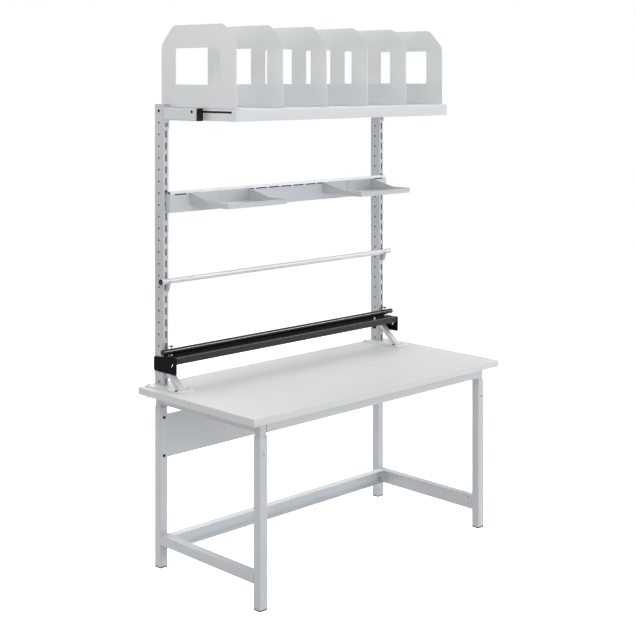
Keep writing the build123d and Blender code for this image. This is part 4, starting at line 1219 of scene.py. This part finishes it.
@dataclass
class FilmCutter(Assembly):
    """Knife track, its end plates, pressure bar and knife."""

    track: tuple[str, ...] = (
        "cutter_front_rail", "cutter_rear_rail", *each("cutter_plate"), "knife_slider",
        "knife_blade")
    plate_screw: Screw = Screw(
        X, End.OUTER, Head.BUTTON, 6.0, 3.0, 3.2, 5.0, 3.0,
        finish=lambda box: "black_screw" if box.middle.x < 0 else "zinc")
    face_screw: Screw = Screw(Y, End.LOW, Head.BUTTON, 4.5, 2.5, 2.5, finish="black_screw")
    under_screw: Screw = Screw(Z, End.LOW, Head.BUTTON, 4.5, 2.5, 2.5, finish="black_screw")
    pin_head: float = 0.0105
    pin_rise: float = 0.005
    pin_radius: float = 0.004
    pin_edge: float = 0.001
    pin_share: float = 0.8
    pin_steps: int = 36
    dome_foot: float = 0.4
    dome_steps: tuple[float, ...] = (0, 0.3, 0.6, 0.9, 1.2)
    nut_radius: float = 0.0075
    cap: TubeCap = TubeCap()
    knob_stem: float = 0.34
    knob_height: float = 0.014
    knob_round: float = 0.003
    knob_corner: float = 0.3
    knob_edge: float = 0.001
    rim_skin: float = 0.0001
    knurl_count: int = 24
    knurl_depth: float = 0.0005

    def knob(self) -> None:
        """Models the knife's knob with a knurled rim and a rounded lower edge."""
        box = box_of("knife_knob")
        radius, tall, soft = box.half.x, self.knob_height, self.knob_round
        stem, corner, edge = radius * self.knob_stem, soft * self.knob_corner, self.knob_edge
        profile = [(0, 0), (radius - soft, 0), (radius - corner, corner), (radius, soft),
                   (radius, tall - edge), (radius - edge, tall), (stem, tall),
                   (stem, box.size.z), (0, box.size.z)]
        part = turned(profile, self.knurl_count * 2)
        for vert in part.verts:
            turn = math.atan2(vert.co.y, vert.co.x) * self.knurl_count / math.tau
            on_rim = math.hypot(vert.co.x, vert.co.y) > radius - self.rim_skin
            if on_rim and round(turn * 2) % 2:
                vert.co.xy *= 1 - self.knurl_depth / radius
        piece = Piece("knife_knob_knurled", "knife", "black_plastic")
        piece.absorb(part, Matrix.Translation((box.middle.x, box.middle.y, box.low.z)))
        piece.finish(replaces=["knife_knob"], smooth_angle=25.0)

    def pin(self, box: Box) -> list[Part]:
        """Makes a guide pin: a bright shank with a domed black cap.

        Args:
            box: Box of the CAD solid that it stands for.

        Returns:
            The cap and the shank.
        """
        bottom, top = box.low.z, box.high.z
        seat = top - self.pin_rise
        radius, head, edge = self.pin_radius, self.pin_head, self.pin_edge
        shank = [(0, bottom), (radius * self.pin_share, bottom), (radius, bottom + edge),
                 (radius, seat), (0, seat)]
        foot, rise = self.dome_foot, 1 - self.dome_foot
        dome = [(head * math.cos(step), seat + self.pin_rise * (foot + rise * math.sin(step)))
                for step in self.dome_steps]
        cap = [(0, seat), (head - edge, seat), (head, seat + edge * self.pin_share), *dome,
               (0, top)]
        place = Matrix.Translation((box.middle.x, box.middle.y, 0))
        return [(turned(cap, self.pin_steps), place), (turned(shank), place, "zinc", "")]

    def pin_nut(self, box: Box) -> list[Part]:
        """Makes the nut that holds a guide pin on the track."""
        place = Matrix.Translation((box.middle.x, box.middle.y, box.low.z))
        return [(hex_nut(self.nut_radius, 0, box.size.z), place)]

    def build(self) -> None:
        """Dresses the cutter and models its screws, pins, caps and knob."""
        self.dress(self.track)
        self.dress(["pressure_tube"], "black_tube")
        self.model("pressure_tube_caps", "pressure_bar", self.cap.build)
        self.screws(
            "cutter_screws", "top_frame", self.plate_screw, self.face_screw, self.under_screw)
        self.model("guide_pins", "top_frame", self.pin)
        self.model("guide_pin_nuts", "top_frame", self.pin_nut)
        self.knob()


@dataclass(frozen=True)
class SoftBox:
    """Area lamp that faces a point; its power is in watts."""

    name: str
    place: Triple
    aim: Triple
    width: float
    power: float

    def hang(self) -> bpy.types.Object:
        """Hangs the lamp.

        Returns:
            The lamp, a square one.
        """
        data = bpy.data.lights.new(self.name, "AREA")
        data.shape = "SQUARE"
        data.size = self.width
        data.energy = self.power
        lamp = placed(self.name, data)
        lamp.location = self.place
        way = Vector(self.aim) - Vector(self.place)
        lamp.rotation_euler = way.to_track_quat("-Z", "Y").to_euler()
        return lamp


@dataclass
class Studio:
    """Floor, lamps, white surroundings and the camera of the photograph."""

    image_side: float = 636.0
    focal_pixels: float = 1307.0
    centre_x: float = 348.0
    centre_y: float = 76.4
    camera_place: Triple = (-4.0409, -4.1709, 2.0847)
    camera_yaw: float = -45.03
    sensor: float = 36.0
    floor_half: float = 9.0
    floor_grey: float = 0.8
    floor_roughness: float = 0.9
    ambient: float = 0.03
    lamps: tuple[SoftBox, ...] = (
        SoftBox("top", (0.0, 0.0, 4.6), (0.0, 0.0, 0.0), 3.0, 30.0),
        SoftBox("front", (0.4, -5.0, 2.2), (0.0, 0.0, 1.2), 3.0, 90.0),
        SoftBox("front_left", (-3.6, -3.6, 3.4), (0.0, 0.0, 1.2), 2.4, 37.0),
        SoftBox("right", (5.0, -0.4, 2.0), (0.0, 0.0, 1.2), 2.6, 178.0),
        SoftBox("near_left", (-2.4, -1.0, 3.3), (0.0, 0.1, 2.1), 2.0, 28.0),
        SoftBox("back", (0.0, 3.4, 4.2), (0.0, 0.0, 0.6), 4.8, 165.0),
        SoftBox("left_back", (-3.2, 3.0, 2.2), (0.0, 0.0, 0.3), 2.2, 18.0),
    )
    strip_lamp: SoftBox = SoftBox("strip", (2.95, -2.56, 3.17), (2.95, 0.27, 0.92), 2.6, 265.0)
    strip_width: float = 0.9

    def camera(self) -> None:
        """Sets the level camera, shifted because the picture's centre lies off the lens axis."""
        data = bpy.data.cameras.new("camera")
        data.sensor_width = self.sensor
        data.lens = self.sensor * self.focal_pixels / self.image_side
        data.shift_x = 0.5 - self.centre_x / self.image_side
        data.shift_y = self.centre_y / self.image_side - 0.5
        data.clip_end = 100.0
        camera = placed("camera", data)
        camera.location = self.camera_place
        camera.rotation_euler = (math.radians(90.0), 0.0, math.radians(self.camera_yaw))
        bpy.context.scene.camera = camera

    @staticmethod
    def seen(tree: bpy.types.NodeTree) -> Socket:
        """Gives 1 for camera and glossy rays and 0 for all others."""
        rays = add_node(tree, "ShaderNodeLightPath").outputs
        return add_node(tree, "ShaderNodeMath", {
            0: rays["Is Camera Ray"], 1: rays["Is Glossy Ray"]}, operation="MAXIMUM").outputs[0]

    def floor(self) -> None:
        """Lays the pale floor, which glows for the camera on top of the light that it takes."""
        mesh = bmesh.new()
        bmesh.ops.create_grid(mesh, x_segments=1, y_segments=1, size=self.floor_half)
        floor = object_of(mesh, "floor")
        graph = Graph("floor")
        feed(graph.shader, {
            "Base Color": (*grey(self.floor_grey), 1), "Roughness": self.floor_roughness})
        glow = add_node(graph.tree, "ShaderNodeEmission", {"Strength": self.seen(graph.tree)})
        both = add_node(graph.tree, "ShaderNodeAddShader", {
            0: graph.shader.outputs[0], 1: glow.outputs[0]})
        output = next(n for n in graph.tree.nodes if n.type == "OUTPUT_MATERIAL")
        feed(output, {"Surface": both.outputs[0]})
        floor.data.materials.append(graph.material)

    def surroundings(self) -> None:
        """Gives an even soft light that the camera sees as white."""
        world = bpy.data.worlds.new("studio")
        bpy.context.scene.world = world
        world.use_nodes = True
        tree = world.node_tree
        background = next(n for n in tree.nodes if n.type == "BACKGROUND")
        level = add_node(tree, "ShaderNodeMapRange", {
            "Value": self.seen(tree), "To Min": self.ambient, "To Max": 1.0})
        feed(background, {"Color": (1, 1, 1, 1), "Strength": level.outputs["Result"]})

    def strip(self) -> None:
        """Hangs a long lamp, seen in reflections alone, for the bright line on the black tube."""
        lamp = self.strip_lamp.hang()
        lamp.data.shape = "RECTANGLE"
        lamp.data.size_y = self.strip_width
        lamp.visible_diffuse = False

    def build(self) -> None:
        """Sets up the whole studio."""
        bpy.context.scene.view_settings.view_transform = "Standard"
        self.floor()
        self.surroundings()
        for lamp in self.lamps:
            lamp.hang()
        self.strip()
        self.camera()


def main() -> None:
    """Builds the sub-assemblies in order, then the studio."""
    logging.basicConfig(level=logging.INFO, format="%(name)s: %(message)s")
    order = (LowerFrame, Worktop, Uprights, ShelfUnit, TrayUnit, RollRod, FilmCutter, Studio)
    for kind in order:
        log.info("building %s", kind.__name__)
        kind().build()


if __name__ == "__main__":
    main()
